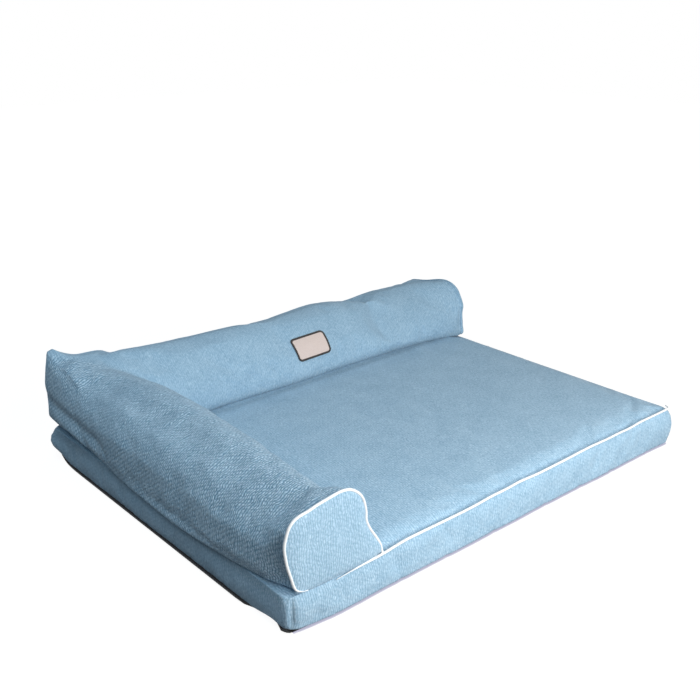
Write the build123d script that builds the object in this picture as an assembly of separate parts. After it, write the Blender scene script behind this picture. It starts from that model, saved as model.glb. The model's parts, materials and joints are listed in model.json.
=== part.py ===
"""Dog bed: a boxed foam mattress with an L of stuffed bolsters along its left side and its back.

Frame: the origin is at the middle of the bed's footprint on the floor, X runs to the right
along the front edge, Y runs to the back and Z runs up. All lengths are in millimetres.
"""
from build123d import *
import math
import os

# Overall size of the bed.
BED_LENGTH = 914.0
BED_DEPTH = 711.0
SEAM_HEIGHT = 67.0
SEAM_SLOPE_SHARE = 0.0125
CORNER_RADIUS = 26.0
SIDE_BULGE = 5.0
SIDE_LEVEL_SHARES = (0.2, 0.5, 0.8)

# Cloth and foam.
FABRIC = 2.4
FIT = 0.3
MEMORY_FOAM_SHARE = 0.36
CROWN_RISE = 11.0
CROWN_DRAW_SHARE = 0.6
CROWN_STEPS = 5
CROWN_CORNER = 40.0
CORNER_CHORDS = 5
CROWN_ARM_SHARE = 1.02
CROWN_BACK_SHARE = 1.12

# Bolsters.
BOLSTER_WIDTH = 172.0
BOLSTER_HEIGHT = 124.0
END_CROWN = 8.0
END_CROWN_SHARES = [(1.0, 0.0), (0.95, 0.38), (0.82, 0.74), (0.42, 1.0)]
SECTION_CHORDS = 6
BOLSTER_WALL = 2 * FABRIC
INSERT_GAP = 1.5
SAG_SHARES = {"outer": 0.15, "top": 0.045, "shoulder": 0.19, "flare": -0.015}

# Piping.
PIPING_RADIUS = 2.2
PIPING_CORD_RADIUS = 1.2
PIPING_FIT = 0.15
PIPING_TUCK_LENGTH = 84.0
PIPING_TUCK_DROP = 6.5
PIPING_TUCK_SHARE = 0.5
PIPING_TUCK_DROP_SHARE = 0.6
PIPING_PROUD_SHARE = 0.4
PIPING_BEND = 10.0
PIPING_SIDES = 8

# Patch on the back bolster.
PATCH_WIDTH = 84.0
PATCH_HEIGHT = 50.0
PATCH_CORNER = 7.0
PATCH_BORDER = 3.6
PATCH_THICKNESS = 1.0
PATCH_BORDER_THICKNESS = 1.8
PATCH_SHARES = {"x": 0.055, "from_back": 0.79, "height": 0.54}
PATCH_LEAN_DEG = 45.0
PATCH_TURN_DEG = 2.0
PATCH_REACH = 30.0

# Zipper in the back boxing.
ZIP_END_GAP = 77.0
ZIP_LENGTH = BED_LENGTH - 2 * ZIP_END_GAP
ZIP_OPENING = 16.0
TAPE_WIDTH = 15.0
TAPE_THICKNESS = 0.8
TAPE_EDGE = 1.3
COIL_WIDTH = 3.0
COIL_THICKNESS = 2.4
COIL_MIDDLE_GAP = 0.12
COIL_ROUND = 0.9
SLIDER_LENGTH = 17.0
SLIDER_WIDTH = 13.0
SLIDER_TAIL_SHARE = 0.72
SLIDER_PLATE = 1.3
SLIDER_FLANGE = 1.0
SLIDER_ROUND = 2.0
SLIDER_POST_LENGTH = 3.2
SLIDER_POST_WIDTH = 1.8
SLIDER_CLEARANCE = 0.3
LUG_LENGTH = 8.0
LUG_WIDTH = 3.0
LUG_HEIGHT = 3.8
LUG_WALL = 1.2
PULL_LENGTH = 27.0
PULL_WIDTH = 8.0
PULL_THICKNESS = 1.2
PULL_EYE = 6.5
PULL_ARM = 1.4
PULL_BAR_RADIUS = 0.7
PULL_GRIP_HOLE = 2.2
STOP_LENGTH = 3.0
STOP_WIDTH = 2.6
STOP_THICKNESS = 4.6
BOTTOM_STOP_LENGTH = 4.0

OVERRUN = 40.0

FABRIC_SHARE = FABRIC / SEAM_HEIGHT
LEFT = -BED_LENGTH / 2
RIGHT = BED_LENGTH / 2
FRONT = -BED_DEPTH / 2
BACK = BED_DEPTH / 2

# One cross-section of a bolster, in shares of its width and of its height. "outer" is the outer
# shoulder, "ridge" is the inner end of the top and "waist" is the crease above the inner flare.
CORNER_SHARES = [
    {"along": -0.08, "width": 1.0, "height": 1.19, "foot": 0.07, "outer": (0.08, 0.95),
     "ridge": 0.26, "waist": (0.92, 0.46)},
    {"along": 0.25, "width": 1.0, "height": 1.19, "foot": 0.07, "outer": (0.08, 0.94),
     "ridge": 0.34, "waist": (0.92, 0.46)},
    {"along": 0.95, "width": 0.98, "height": 1.09, "foot": 0.07, "outer": (0.09, 0.91),
     "ridge": 0.46, "waist": (0.90, 0.46)},
]
ARM_SHARES = [
    {"along": 0.47, "width": 0.98, "height": 1.01, "foot": 0.07, "outer": (0.10, 0.89),
     "ridge": 0.56, "waist": (0.84, 0.50)},
    {"along": 0.72, "width": 0.98, "height": 0.99, "foot": 0.08, "outer": (0.10, 0.88),
     "ridge": 0.54, "waist": (0.81, 0.52)},
    {"along": 0.92, "width": 0.98, "height": 0.98, "foot": 0.09, "outer": (0.09, 0.88),
     "ridge": 0.52, "waist": (0.79, 0.54)},
    {"along": 1.0, "width": 1.0, "height": 1.01, "foot": 0.09, "outer": (0.09, 0.885),
     "ridge": 0.57, "waist": (0.81, 0.54)},
]
BACK_SHARES = [
    {"along": 0.34, "width": 0.93, "height": 1.03, "foot": 0.05, "outer": (0.10, 0.92),
     "ridge": 0.48, "waist": (0.94, 0.40)},
    {"along": 0.58, "width": 0.95, "height": 1.0, "foot": 0.05, "outer": (0.11, 0.92),
     "ridge": 0.46, "waist": (0.95, 0.38)},
    {"along": 0.75, "width": 0.94, "height": 0.90, "foot": 0.05, "outer": (0.11, 0.92),
     "ridge": 0.50, "waist": (0.95, 0.42)},
    {"along": 0.92, "width": 1.02, "height": 0.96, "foot": 0.05, "outer": (0.10, 0.90),
     "ridge": 0.56, "waist": (0.93, 0.50)},
    {"along": 1.0, "width": 1.09, "height": 0.97, "foot": 0.05, "outer": (0.09, 0.89),
     "ridge": 0.60, "waist": (0.93, 0.60)},
]


def seam_height(x):
    """Height of the mattress's top seam: its right end stands a little higher than its left."""
    return SEAM_HEIGHT + SEAM_SLOPE_SHARE * x


def side_bulge(level):
    """How far the mattress's sides stand out at a level from 0 (floor) to 1 (top seam)."""
    return SIDE_BULGE * 4 * level * (1 - level)


def write(node, shape):
    """Export one node's solid."""
    export_step(shape, "parts/" + node + ".step")
    print(node, "%.0f mm3" % shape.volume)


def prism(points, low, high):
    """Upright prism over a plan outline."""
    outline = Wire.make_polygon([Vector(x, y, low) for x, y in points], close=True)
    return Solid.extrude(Face(outline), Vector(0, 0, high - low))


def block(x_range, y_range, z_range):
    """Plain box from its lower and upper limits."""
    size = [b - a for a, b in (x_range, y_range, z_range)]
    middle = [(a + b) / 2 for a, b in (x_range, y_range, z_range)]
    return Pos(*middle) * Box(*size)


# The mattress: a foam slab, its boxed cover and the crown of the sleeping area.

def plan(level, inset, bulge_share=1.0):
    """Rounded outline of the mattress at a level from 0 (floor) to 1 (top seam)."""
    bulge = bulge_share * side_bulge(level)
    slope = SEAM_SLOPE_SHARE * level
    plane = Plane((0, 0, SEAM_HEIGHT * level), x_dir=(1, 0, slope), z_dir=(-slope, 0, 1))
    grow = 2 * (bulge - inset)
    rounded = RectangleRounded(BED_LENGTH + grow, BED_DEPTH + grow, CORNER_RADIUS - inset)
    return (plane * rounded).face().outer_wire()


def slab(levels, inset, bulge_share=1.0):
    """Solid through the mattress outlines at some levels, ruled from one to the next."""
    return Solid.make_loft([plan(level, inset, bulge_share) for level in levels], True)


def faceted(outlines):
    """Solid of flat faces through closed outlines that have the same number of points."""
    faces = [Face(Wire.make_polygon(outlines[0], close=True)),
             Face(Wire.make_polygon(outlines[-1], close=True))]
    for low, high in zip(outlines, outlines[1:]):
        for i in range(len(low)):
            j = (i + 1) % len(low)
            faces.append(Face(Wire.make_polygon([low[i], low[j], high[j]], close=True)))
            faces.append(Face(Wire.make_polygon([low[i], high[j], high[i]], close=True)))
    return Solid(Shell(faces))


def crown_outline(inset, draw, rise):
    """Rounded outline of the crown, drawn in and raised, as points."""
    x_low = LEFT + CROWN_ARM_SHARE * BOLSTER_WIDTH + inset + draw
    x_high = RIGHT - inset - draw
    y_low = FRONT + inset + draw
    y_high = BACK - CROWN_BACK_SHARE * BOLSTER_WIDTH - inset - draw
    radius = min(CROWN_CORNER + draw / 2, (y_high - y_low) / 2 + inset - FABRIC) - inset
    centres = [(x_high - radius, y_high - radius), (x_low + radius, y_high - radius),
               (x_low + radius, y_low + radius), (x_high - radius, y_low + radius)]
    points = []
    for corner, (x, y) in enumerate(centres):
        for step in range(CORNER_CHORDS + 1):
            turn = math.radians(90 * (corner + step / CORNER_CHORDS))
            px = x + radius * math.cos(turn)
            points.append(Vector(px, y + radius * math.sin(turn), seam_height(px) + rise))
    return points


def crown(inset):
    """Pillow-like rise of the sleeping area, inside the bolsters: a quarter ellipse all round."""
    deep = BED_DEPTH - CROWN_BACK_SHARE * BOLSTER_WIDTH - 2 * inset
    outlines = []
    for step in range(CROWN_STEPS + 1):
        turn = math.radians(90 * step / CROWN_STEPS)
        draw = CROWN_DRAW_SHARE * (1 - math.cos(turn)) * deep / 2
        outlines.append(crown_outline(inset, draw, math.sin(turn) * (CROWN_RISE - inset)))
    return faceted(outlines)


def crown_plug(inset):
    """The foam below the crown, through the thickness of the top panel."""
    return faceted([crown_outline(inset, 0, -FABRIC - FIT), crown_outline(inset, 0, 0)])


def corner_wedge(side):
    """Plan region of one side of the mattress, cut at 45 degrees through its corners."""
    reach = BOLSTER_WIDTH
    outer = [(LEFT - OVERRUN, FRONT - OVERRUN), (RIGHT + OVERRUN, FRONT - OVERRUN),
             (RIGHT + OVERRUN, BACK + OVERRUN), (LEFT - OVERRUN, BACK + OVERRUN)]
    inner = [(LEFT + reach, FRONT + reach), (RIGHT - reach, FRONT + reach),
             (RIGHT - reach, BACK - reach), (LEFT + reach, BACK - reach)]
    first = ["front", "right", "back", "left"].index(side)
    second = (first + 1) % 4
    points = [outer[first], outer[second], inner[second], inner[first]]
    return prism(points, -OVERRUN, SEAM_HEIGHT + OVERRUN)


def make_boxing():
    """The four sides of the cover; the back one is an upper and a lower strip at the zipper."""
    levels = [FABRIC_SHARE, *SIDE_LEVEL_SHARES, 1 - FABRIC_SHARE]
    ring = slab(levels, 0) - slab(levels, FABRIC)
    window = block((-ZIP_LENGTH / 2 - ZIP_OPENING, ZIP_LENGTH / 2 + ZIP_OPENING),
                   (BACK - OVERRUN, BACK + OVERRUN),
                   (ZIP_Z - ZIP_OPENING / 2, ZIP_Z + ZIP_OPENING / 2))
    back = (ring & corner_wedge("back")) - window
    below = block((LEFT - OVERRUN, RIGHT + OVERRUN), (0, BACK + OVERRUN), (-OVERRUN, ZIP_Z))
    groove = front_edge_tube(PIPING_RADIUS + PIPING_FIT)
    return {
        "front_boxing": (ring & corner_wedge("front")) - groove,
        "right_boxing": (ring & corner_wedge("right")) - groove,
        "left_boxing": ring & corner_wedge("left"),
        "back_boxing_upper": back - below,
        "back_boxing_lower": back & below,
    }


def make_top_panel():
    """Top panel of the mattress cover, flat under the bolsters and crowned where the dog lies."""
    flat = slab([1 - FABRIC_SHARE, 1], 0)
    groove = front_edge_tube(PIPING_RADIUS + PIPING_FIT)
    return flat + crown(0) - crown_plug(FABRIC) - crown(FABRIC) - groove


def make_foams():
    """Support foam below, memory foam above it with the crowned top."""
    inset = FABRIC + FIT
    split = 1 - MEMORY_FOAM_SHARE
    support = slab([FABRIC_SHARE, split], inset, 0)
    memory = slab([split, 1 - FABRIC_SHARE], inset, 0)
    memory = memory + crown_plug(inset) + crown(inset)
    return support, memory


# The bolsters.

class Section:
    """Cross-section of a bolster: u runs inwards from the outer face, z up from the seam."""

    def __init__(self, along, shares):
        self.along = along
        self.width = shares["width"] * BOLSTER_WIDTH
        self.height = shares["height"] * BOLSTER_HEIGHT
        w = self.width
        h = self.height
        self.foot = (shares["foot"] * w, 0)
        self.outer = (shares["outer"][0] * w, shares["outer"][1] * h)
        self.ridge = (shares["ridge"] * w, h)
        self.waist = (shares["waist"][0] * w, shares["waist"][1] * h)
        self.base = (w, 0)

    def points(self, inset, scale_share=1.0):
        """Ends and middles of the four curved edges, from the outer foot to the inner base."""
        ends = [self.foot, self.outer, self.ridge, self.waist, self.base]
        sags = [SAG_SHARES["outer"], SAG_SHARES["top"], SAG_SHARES["shoulder"], SAG_SHARES["flare"]]
        chain = [ends[0]]
        for (u0, z0), (u1, z1), sag in zip(ends, ends[1:], sags):
            middle = ((u0 + u1) / 2 - sag * (z1 - z0), (z0 + z1) / 2 + sag * (u1 - u0))
            chain += [middle, (u1, z1)]
        half_w = self.width / 2
        half_h = self.height / 2
        shrink_u = (1 - inset / half_w) * scale_share
        shrink_z = (1 - inset / half_h) * scale_share
        return [(half_w + (u - half_w) * shrink_u, half_h + (z - half_h) * shrink_z)
                for u, z in chain]


def arm_place(u, z, along):
    """Point of the arm: the arm runs from the back left corner to the front."""
    x = LEFT + u
    return Vector(x, BACK - along, seam_height(x) + z)


def back_place(u, z, along):
    """Point of the back bolster: it runs from the back left corner to the right."""
    x = LEFT + along
    return Vector(x, BACK - u, seam_height(x) + z)


def arm_sections():
    corner = [Section(s["along"] * BOLSTER_WIDTH, s) for s in CORNER_SHARES]
    return corner + [Section(s["along"] * BED_DEPTH, s) for s in ARM_SHARES]


def back_sections():
    corner = [Section(s["along"] * BOLSTER_WIDTH, s) for s in CORNER_SHARES]
    return corner + [Section(s["along"] * BED_LENGTH, s) for s in BACK_SHARES]


def section_outline(section, place, inset, along, scale_share=1.0):
    """Outline of one cross-section in space: chords of its arcs, fewer inside the cover."""
    p = [place(u, z, along) for u, z in section.points(inset, scale_share)]
    if inset > 0:
        return p
    arcs = [Edge.make_three_point_arc(p[i], p[i + 1], p[i + 2]) for i in range(0, len(p) - 1, 2)]
    steps = [step / SECTION_CHORDS for step in range(SECTION_CHORDS)]
    return [arc.position_at(step) for arc in arcs for step in steps] + [p[-1]]


def tube_form(sections, place, inset):
    """Stuffed form through the cross-sections: a smooth loft, flat-faced inside the cover."""
    outlines = [section_outline(s, place, inset, s.along) for s in sections]
    if inset > 0:
        return faceted(outlines)
    return Solid.make_loft([Wire.make_polygon(outline, close=True) for outline in outlines])


def end_form(section, place, inset):
    """Crowned end of a stuffed form."""
    outlines = []
    for scale_share, out_share in END_CROWN_SHARES:
        out = out_share * (END_CROWN - inset)
        outlines.append(section_outline(section, place, inset, section.along + out, scale_share))
    return faceted(outlines)


def mitre_side(name, gap=0.0):
    """Plan region on one side of the mitre at the back left corner."""
    reach = 2 * BOLSTER_WIDTH
    high = SEAM_HEIGHT + 2 * BOLSTER_HEIGHT
    if name == "arm":
        points = [(LEFT - OVERRUN, BACK + OVERRUN - gap), (LEFT + reach, BACK - reach - gap),
                  (LEFT + reach, FRONT - OVERRUN), (LEFT - OVERRUN, FRONT - OVERRUN)]
    else:
        points = [(LEFT - OVERRUN + gap, BACK + OVERRUN), (RIGHT + OVERRUN, BACK + OVERRUN),
                  (RIGHT + OVERRUN, BACK - reach), (LEFT + reach + gap, BACK - reach)]
    return prism(points, -OVERRUN, high)


def make_bolster(name):
    """Cover, end panel and insert of one bolster."""
    sections = arm_sections() if name == "arm" else back_sections()
    place = arm_place if name == "arm" else back_place
    shell = tube_form(sections, place, 0) - tube_form(sections, place, BOLSTER_WALL)
    cover = shell & mitre_side(name)
    end = end_form(sections[-1], place, 0) - end_form(sections[-1], place, BOLSTER_WALL)
    inset = BOLSTER_WALL + FIT
    fill = tube_form(sections, place, inset) + end_form(sections[-1], place, inset)
    fill = fill & mitre_side(name, INSERT_GAP)
    return cover, end, fill


# Piping.

def front_edge_path():
    """Seam line of the mattress's front top edge, tucked down under the arm at its left end."""
    arm_foot = LEFT + BOLSTER_WIDTH
    turn = CORNER_RADIUS * math.sin(math.radians(45))
    tuck_x = arm_foot - PIPING_TUCK_LENGTH
    half_x = arm_foot - PIPING_TUCK_LENGTH * PIPING_TUCK_SHARE
    start = Vector(tuck_x, FRONT - FABRIC / 2, seam_height(tuck_x) - PIPING_TUCK_DROP)
    half = Vector(half_x, FRONT - FABRIC / 2, seam_height(half_x) - PIPING_TUCK_DROP * PIPING_TUCK_DROP_SHARE)
    foot = Vector(arm_foot, FRONT, seam_height(arm_foot))
    corner_x = RIGHT - CORNER_RADIUS
    corner = Vector(corner_x, FRONT, seam_height(corner_x))
    along = Vector(1, 0, SEAM_SLOPE_SHARE)
    rise = Edge.make_tangent_arc(foot, -along, half)
    tuck = Edge.make_tangent_arc(half, rise.tangent_at(1), start)
    straight = Edge.make_line(foot, corner)
    end_x = corner_x + turn
    end = Vector(end_x, FRONT + CORNER_RADIUS - turn, seam_height(end_x))
    bend = Edge.make_tangent_arc(corner, along, end)
    return Wire([tuck, rise, straight, bend])


def front_edge_tube(radius):
    return pipe(front_edge_path(), radius)


def arm_end_path():
    """Outline of the arm's end panel, from its outer foot over the top to its inner base."""
    section = arm_sections()[-1]
    proud = -PIPING_PROUD_SHARE * PIPING_RADIUS
    points = [arm_place(u, z, section.along) for u, z in section.points(proud)]
    lift = Vector(0, 0, 2 * PIPING_RADIUS + FIT - proud)
    points[0] = points[0] + lift
    points[-1] = points[-1] + lift
    edges = [Edge.make_three_point_arc(points[i], points[i + 1], points[i + 2])
             for i in range(0, len(points) - 1, 2)]
    outline = Wire(edges)
    joints = [v for v in outline.vertices()
              if min((v.center() - points[0]).length, (v.center() - points[-1]).length) > FIT]
    return outline.fillet_2d(PIPING_BEND, joints)


def arm_end_tube(radius):
    return pipe(arm_end_path(), radius)


def pipe(path, radius):
    """Bar of the given radius along a path, eight-sided to keep its faces few."""
    start = path.position_at(0)
    plane = Plane(start, z_dir=path.tangent_at(0))
    return sweep((plane * RegularPolygon(radius, PIPING_SIDES)).face(), path=path)


def make_piping(tube):
    """Cloth tube of the piping and the cord in it."""
    cord = tube(PIPING_CORD_RADIUS)
    return tube(PIPING_RADIUS) - tube(PIPING_CORD_RADIUS), cord


# The patch.

def patch_prism(inset):
    """Rounded rectangle of the patch, run through the front face of the back bolster."""
    x = PATCH_SHARES["x"] * BED_LENGTH
    y = BACK - PATCH_SHARES["from_back"] * BOLSTER_WIDTH
    z = seam_height(x) + PATCH_SHARES["height"] * BOLSTER_HEIGHT
    lean = math.radians(PATCH_LEAN_DEG)
    normal = Vector(0, -math.cos(lean), math.sin(lean))
    plane = Plane(Vector(x, y, z) - normal * PATCH_REACH, x_dir=(1, 0, 0), z_dir=normal)
    outline = RectangleRounded(PATCH_WIDTH - 2 * inset, PATCH_HEIGHT - 2 * inset, PATCH_CORNER - inset)
    return extrude(plane * Rot(0, 0, PATCH_TURN_DEG) * outline, 2 * PATCH_REACH)


def make_patch():
    """Bare woven patch and its stitched border, both bent to the bolster."""
    sections = back_sections()
    skin = tube_form(sections, back_place, -FIT / 2)
    face = tube_form(sections, back_place, -FIT / 2 - PATCH_THICKNESS) - skin
    rim = tube_form(sections, back_place, -FIT / 2 - PATCH_BORDER_THICKNESS) - skin
    patch = face & patch_prism(PATCH_BORDER)
    border = rim & (patch_prism(0) - patch_prism(PATCH_BORDER))
    return patch, border


# The zipper. It lies in the back boxing; depths are measured outwards along Y.

ZIP_Z = SEAM_HEIGHT / 2
TAPE_TOP_SHARE = (ZIP_Z + TAPE_WIDTH) / seam_height(-ZIP_LENGTH / 2 - ZIP_OPENING)
TAPE_FACE = BACK - FABRIC + side_bulge(TAPE_TOP_SHARE) - FIT / 2
TAPE_BACK = TAPE_FACE - TAPE_THICKNESS
COIL_FACE = TAPE_FACE + COIL_THICKNESS
PLATE_INNER_TOP = TAPE_BACK - SLIDER_CLEARANCE
PLATE_OUTER_LOW = COIL_FACE + SLIDER_CLEARANCE
PLATE_OUTER_TOP = PLATE_OUTER_LOW + SLIDER_PLATE
SLIDER_X = ZIP_LENGTH / 2 - SLIDER_LENGTH / 2
POST_X = SLIDER_X + SLIDER_LENGTH / 2 - SLIDER_POST_LENGTH
COIL_START = -ZIP_LENGTH / 2 + BOTTOM_STOP_LENGTH
COIL_END = POST_X - FIT
PULL_X = SLIDER_X
PULL_Y = PLATE_OUTER_TOP + LUG_HEIGHT / 2 - LUG_WALL / 2


def side_z(side, near, far):
    """Height limits of a piece on the upper (1) or lower (-1) side of the zipper's middle."""
    return tuple(sorted((ZIP_Z + side * near, ZIP_Z + side * far)))


def make_tape(side):
    """One woven tape, held behind its boxing strip."""
    return block((-ZIP_LENGTH / 2 - ZIP_OPENING / 2, ZIP_LENGTH / 2 + ZIP_OPENING / 2),
                 (TAPE_BACK, TAPE_FACE), side_z(side, TAPE_EDGE, TAPE_WIDTH))


def make_coil(side):
    """One coil of the closed chain, as the smooth envelope of its turns."""
    bar = block((COIL_START, COIL_END), (TAPE_FACE, COIL_FACE),
                side_z(side, COIL_MIDDLE_GAP, COIL_WIDTH))
    edges = bar.edges().filter_by(Axis.X).filter_by(lambda e: e.center().Y > TAPE_FACE + FIT)
    return fillet(edges, COIL_ROUND)


def slider_plate(low, high):
    """Plate of the slider: full width at the head, narrower at the tail."""
    half = SLIDER_WIDTH / 2
    tail = half * SLIDER_TAIL_SHARE
    x_tail = SLIDER_X - SLIDER_LENGTH / 2
    x_head = SLIDER_X + SLIDER_LENGTH / 2
    points = [(x_tail, -tail), (SLIDER_X, -half), (x_head, -half),
              (x_head, half), (SLIDER_X, half), (x_tail, tail)]
    outline = Wire.make_polygon([Vector(x, low, ZIP_Z + z) for x, z in points], close=True)
    plate = Solid.extrude(Face(outline), Vector(0, high - low, 0))
    return fillet(plate.edges().filter_by(Axis.Y), SLIDER_ROUND)


def make_slider():
    """Slider: two plates, a post between them, side flanges and the lug for the pull."""
    low = PLATE_INNER_TOP - SLIDER_PLATE
    body = slider_plate(low, PLATE_OUTER_TOP)
    x_all = (SLIDER_X - SLIDER_LENGTH, SLIDER_X + SLIDER_LENGTH)
    hollow_half = SLIDER_WIDTH / 2 * SLIDER_TAIL_SHARE - SLIDER_FLANGE
    head_half = SLIDER_WIDTH / 2 - SLIDER_FLANGE
    x_tail = SLIDER_X - SLIDER_LENGTH
    points = [(x_tail, -hollow_half), (SLIDER_X - SLIDER_LENGTH / 2, -hollow_half),
              (SLIDER_X, -head_half), (x_all[1], -head_half), (x_all[1], head_half),
              (SLIDER_X, head_half), (SLIDER_X - SLIDER_LENGTH / 2, hollow_half),
              (x_tail, hollow_half)]
    outline = Wire.make_polygon([Vector(x, PLATE_INNER_TOP, ZIP_Z + z) for x, z in points], close=True)
    hollow = Solid.extrude(Face(outline), Vector(0, PLATE_OUTER_LOW - PLATE_INNER_TOP, 0))
    slot = block(x_all, (TAPE_BACK - SLIDER_CLEARANCE, TAPE_FACE + SLIDER_CLEARANCE),
                 (ZIP_Z - SLIDER_WIDTH, ZIP_Z + SLIDER_WIDTH))
    body = body - hollow - slot
    post = block((POST_X, SLIDER_X + SLIDER_LENGTH / 2 - FIT), (low + FIT, PLATE_OUTER_LOW + FIT),
                 (ZIP_Z - SLIDER_POST_WIDTH / 2, ZIP_Z + SLIDER_POST_WIDTH / 2))
    lug = block((PULL_X - LUG_LENGTH / 2, PULL_X + LUG_LENGTH / 2),
                (PLATE_OUTER_TOP - FIT, PLATE_OUTER_TOP + LUG_HEIGHT),
                (ZIP_Z - LUG_WIDTH / 2, ZIP_Z + LUG_WIDTH / 2))
    lug = fillet(lug.edges().filter_by(Axis.Z).filter_by(lambda e: e.center().Y > PLATE_OUTER_TOP),
                 LUG_WALL)
    eye = block((PULL_X - LUG_LENGTH / 2 + LUG_WALL, PULL_X + LUG_LENGTH / 2 - LUG_WALL),
                (PLATE_OUTER_TOP, PLATE_OUTER_TOP + LUG_HEIGHT - LUG_WALL),
                (ZIP_Z - LUG_WIDTH, ZIP_Z + LUG_WIDTH))
    return body + post + (lug - eye)


def make_pull():
    """Pull tab: a bar through the slider's lug, two arms and the grip."""
    half = PULL_WIDTH / 2
    y_range = (PULL_Y - PULL_THICKNESS / 2, PULL_Y + PULL_THICKNESS / 2)
    plate = block((PULL_X - PULL_LENGTH, PULL_X + PULL_BAR_RADIUS), y_range, (ZIP_Z - half, ZIP_Z + half))
    plate = fillet(plate.edges().filter_by(Axis.Y), half * SLIDER_TAIL_SHARE / 2)
    window = block((PULL_X - PULL_EYE, PULL_X - PULL_BAR_RADIUS),
                   (PULL_Y - OVERRUN, PULL_Y + OVERRUN),
                   (ZIP_Z - half + PULL_ARM, ZIP_Z + half - PULL_ARM))
    front = block((PULL_X - PULL_BAR_RADIUS, PULL_X + PULL_THICKNESS), (PULL_Y - OVERRUN, PULL_Y + OVERRUN),
                  (ZIP_Z - half + PULL_ARM, ZIP_Z + half - PULL_ARM))
    bar = Pos(PULL_X, PULL_Y, ZIP_Z) * Cylinder(PULL_BAR_RADIUS, PULL_WIDTH - PULL_ARM)
    hole_x = PULL_X - PULL_LENGTH + 2 * PULL_GRIP_HOLE
    hole = Pos(hole_x, PULL_Y, ZIP_Z) * Rot(90, 0, 0) * Cylinder(PULL_GRIP_HOLE, OVERRUN)
    return plate - window - front + bar - hole


def make_stop(x_start, length, sides):
    """Metal stop clamped round the inner edges of the tapes."""
    y_middle = (PLATE_INNER_TOP + PLATE_OUTER_LOW) / 2
    y_range = (y_middle - STOP_THICKNESS / 2, y_middle + STOP_THICKNESS / 2)
    pieces = []
    for side in sides:
        body = block((x_start, x_start + length), y_range, side_z(side, COIL_MIDDLE_GAP, TAPE_EDGE + STOP_WIDTH))
        slit = block((x_start - OVERRUN, x_start + length + OVERRUN),
                     (TAPE_BACK - FIT / 2, TAPE_FACE + FIT / 2), side_z(side, TAPE_EDGE - FIT / 2, TAPE_WIDTH))
        pieces.append(body - slit)
    return pieces


def main():
    os.makedirs("parts", exist_ok=True)
    boxing = make_boxing()
    for node, shape in boxing.items():
        write(node, shape)
    write("nonslip_bottom_panel", slab([0, FABRIC_SHARE], 0))
    write("mattress_top_panel", make_top_panel())
    support, memory = make_foams()
    write("support_foam", support)
    write("memory_foam", memory)

    groove = arm_end_tube(PIPING_RADIUS + PIPING_FIT) + front_edge_tube(PIPING_RADIUS + PIPING_FIT)
    cover, end, fill = make_bolster("arm")
    write("arm_cover", cover - groove)
    write("arm_end_panel", end - groove)
    write("arm_insert", fill - groove)
    cover, end, fill = make_bolster("back")
    write("back_cover", cover)
    write("back_end_panel", end)
    write("back_insert", fill)

    piping, cord = make_piping(front_edge_tube)
    write("front_edge_piping", piping)
    write("front_edge_piping_cord", cord)
    piping, cord = make_piping(arm_end_tube)
    write("arm_end_piping", piping)
    write("arm_end_piping_cord", cord)

    patch, border = make_patch()
    write("patch", patch)
    write("patch_border", border)

    write("zipper_tape_upper", make_tape(1))
    write("zipper_tape_lower", make_tape(-1))
    write("zipper_coil_upper", make_coil(1))
    write("zipper_coil_lower", make_coil(-1))
    write("zipper_slider", make_slider())
    write("zipper_pull", make_pull())
    top_stops = make_stop(ZIP_LENGTH / 2 + SLIDER_CLEARANCE, STOP_LENGTH, (1, -1))
    write("zipper_top_stops", Compound(top_stops))
    low_stops = make_stop(-ZIP_LENGTH / 2, BOTTOM_STOP_LENGTH, (1, -1))
    bridge_y = (TAPE_FACE + FIT, TAPE_FACE + FIT + SLIDER_PLATE)
    bridge = block((-ZIP_LENGTH / 2, -ZIP_LENGTH / 2 + BOTTOM_STOP_LENGTH), bridge_y,
                   (ZIP_Z - TAPE_EDGE, ZIP_Z + TAPE_EDGE))
    write("zipper_bottom_stop", low_stops[0] + low_stops[1] + bridge)


main()
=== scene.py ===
# %% [markdown]
# # A foam dog bed with an L of stuffed bolsters
#
# The frame is the rigid construction of the bed: foam slabs, thin cover panels, a zipper with a slider.
# This lesson dresses it. Every soft piece gets a fuller form that stands for its thin panels, every
# hard piece keeps its own mesh, and each finish is built from nodes. Lengths are in metres, X runs to
# the right along the open front edge, Y to the back and Z up.

# %% Load the frame and keep its box
import json
import math
from functools import partial
import bmesh
import bpy
import numpy as np
from mathutils import Matrix, Vector
from mathutils.bvhtree import BVHTree


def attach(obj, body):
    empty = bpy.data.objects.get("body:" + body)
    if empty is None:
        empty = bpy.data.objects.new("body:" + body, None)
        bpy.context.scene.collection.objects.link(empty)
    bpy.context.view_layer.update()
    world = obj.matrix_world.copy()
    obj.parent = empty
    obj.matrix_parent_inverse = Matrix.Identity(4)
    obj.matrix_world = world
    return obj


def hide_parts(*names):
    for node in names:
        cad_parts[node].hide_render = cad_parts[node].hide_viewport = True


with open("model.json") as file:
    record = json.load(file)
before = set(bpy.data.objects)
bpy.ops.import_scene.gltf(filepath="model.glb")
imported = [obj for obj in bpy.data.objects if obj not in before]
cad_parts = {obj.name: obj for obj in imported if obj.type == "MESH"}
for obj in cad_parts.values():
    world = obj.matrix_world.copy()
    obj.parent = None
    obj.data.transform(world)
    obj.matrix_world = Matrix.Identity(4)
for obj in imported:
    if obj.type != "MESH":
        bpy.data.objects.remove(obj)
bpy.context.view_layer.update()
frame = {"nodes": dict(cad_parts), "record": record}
scene = bpy.context.scene
MM = 0.001
print("frame pieces:", len(frame["nodes"]))

# %% [markdown]
# ## Sizes
#
# The bed's plan is 914 by 711 mm at its seams. The mattress's top seam climbs a little from left to
# right, so its height is a function of x. The bolsters are described the way a pattern cutter would:
# u is the distance in from the outer face, s is the distance along from the back left corner.

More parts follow.
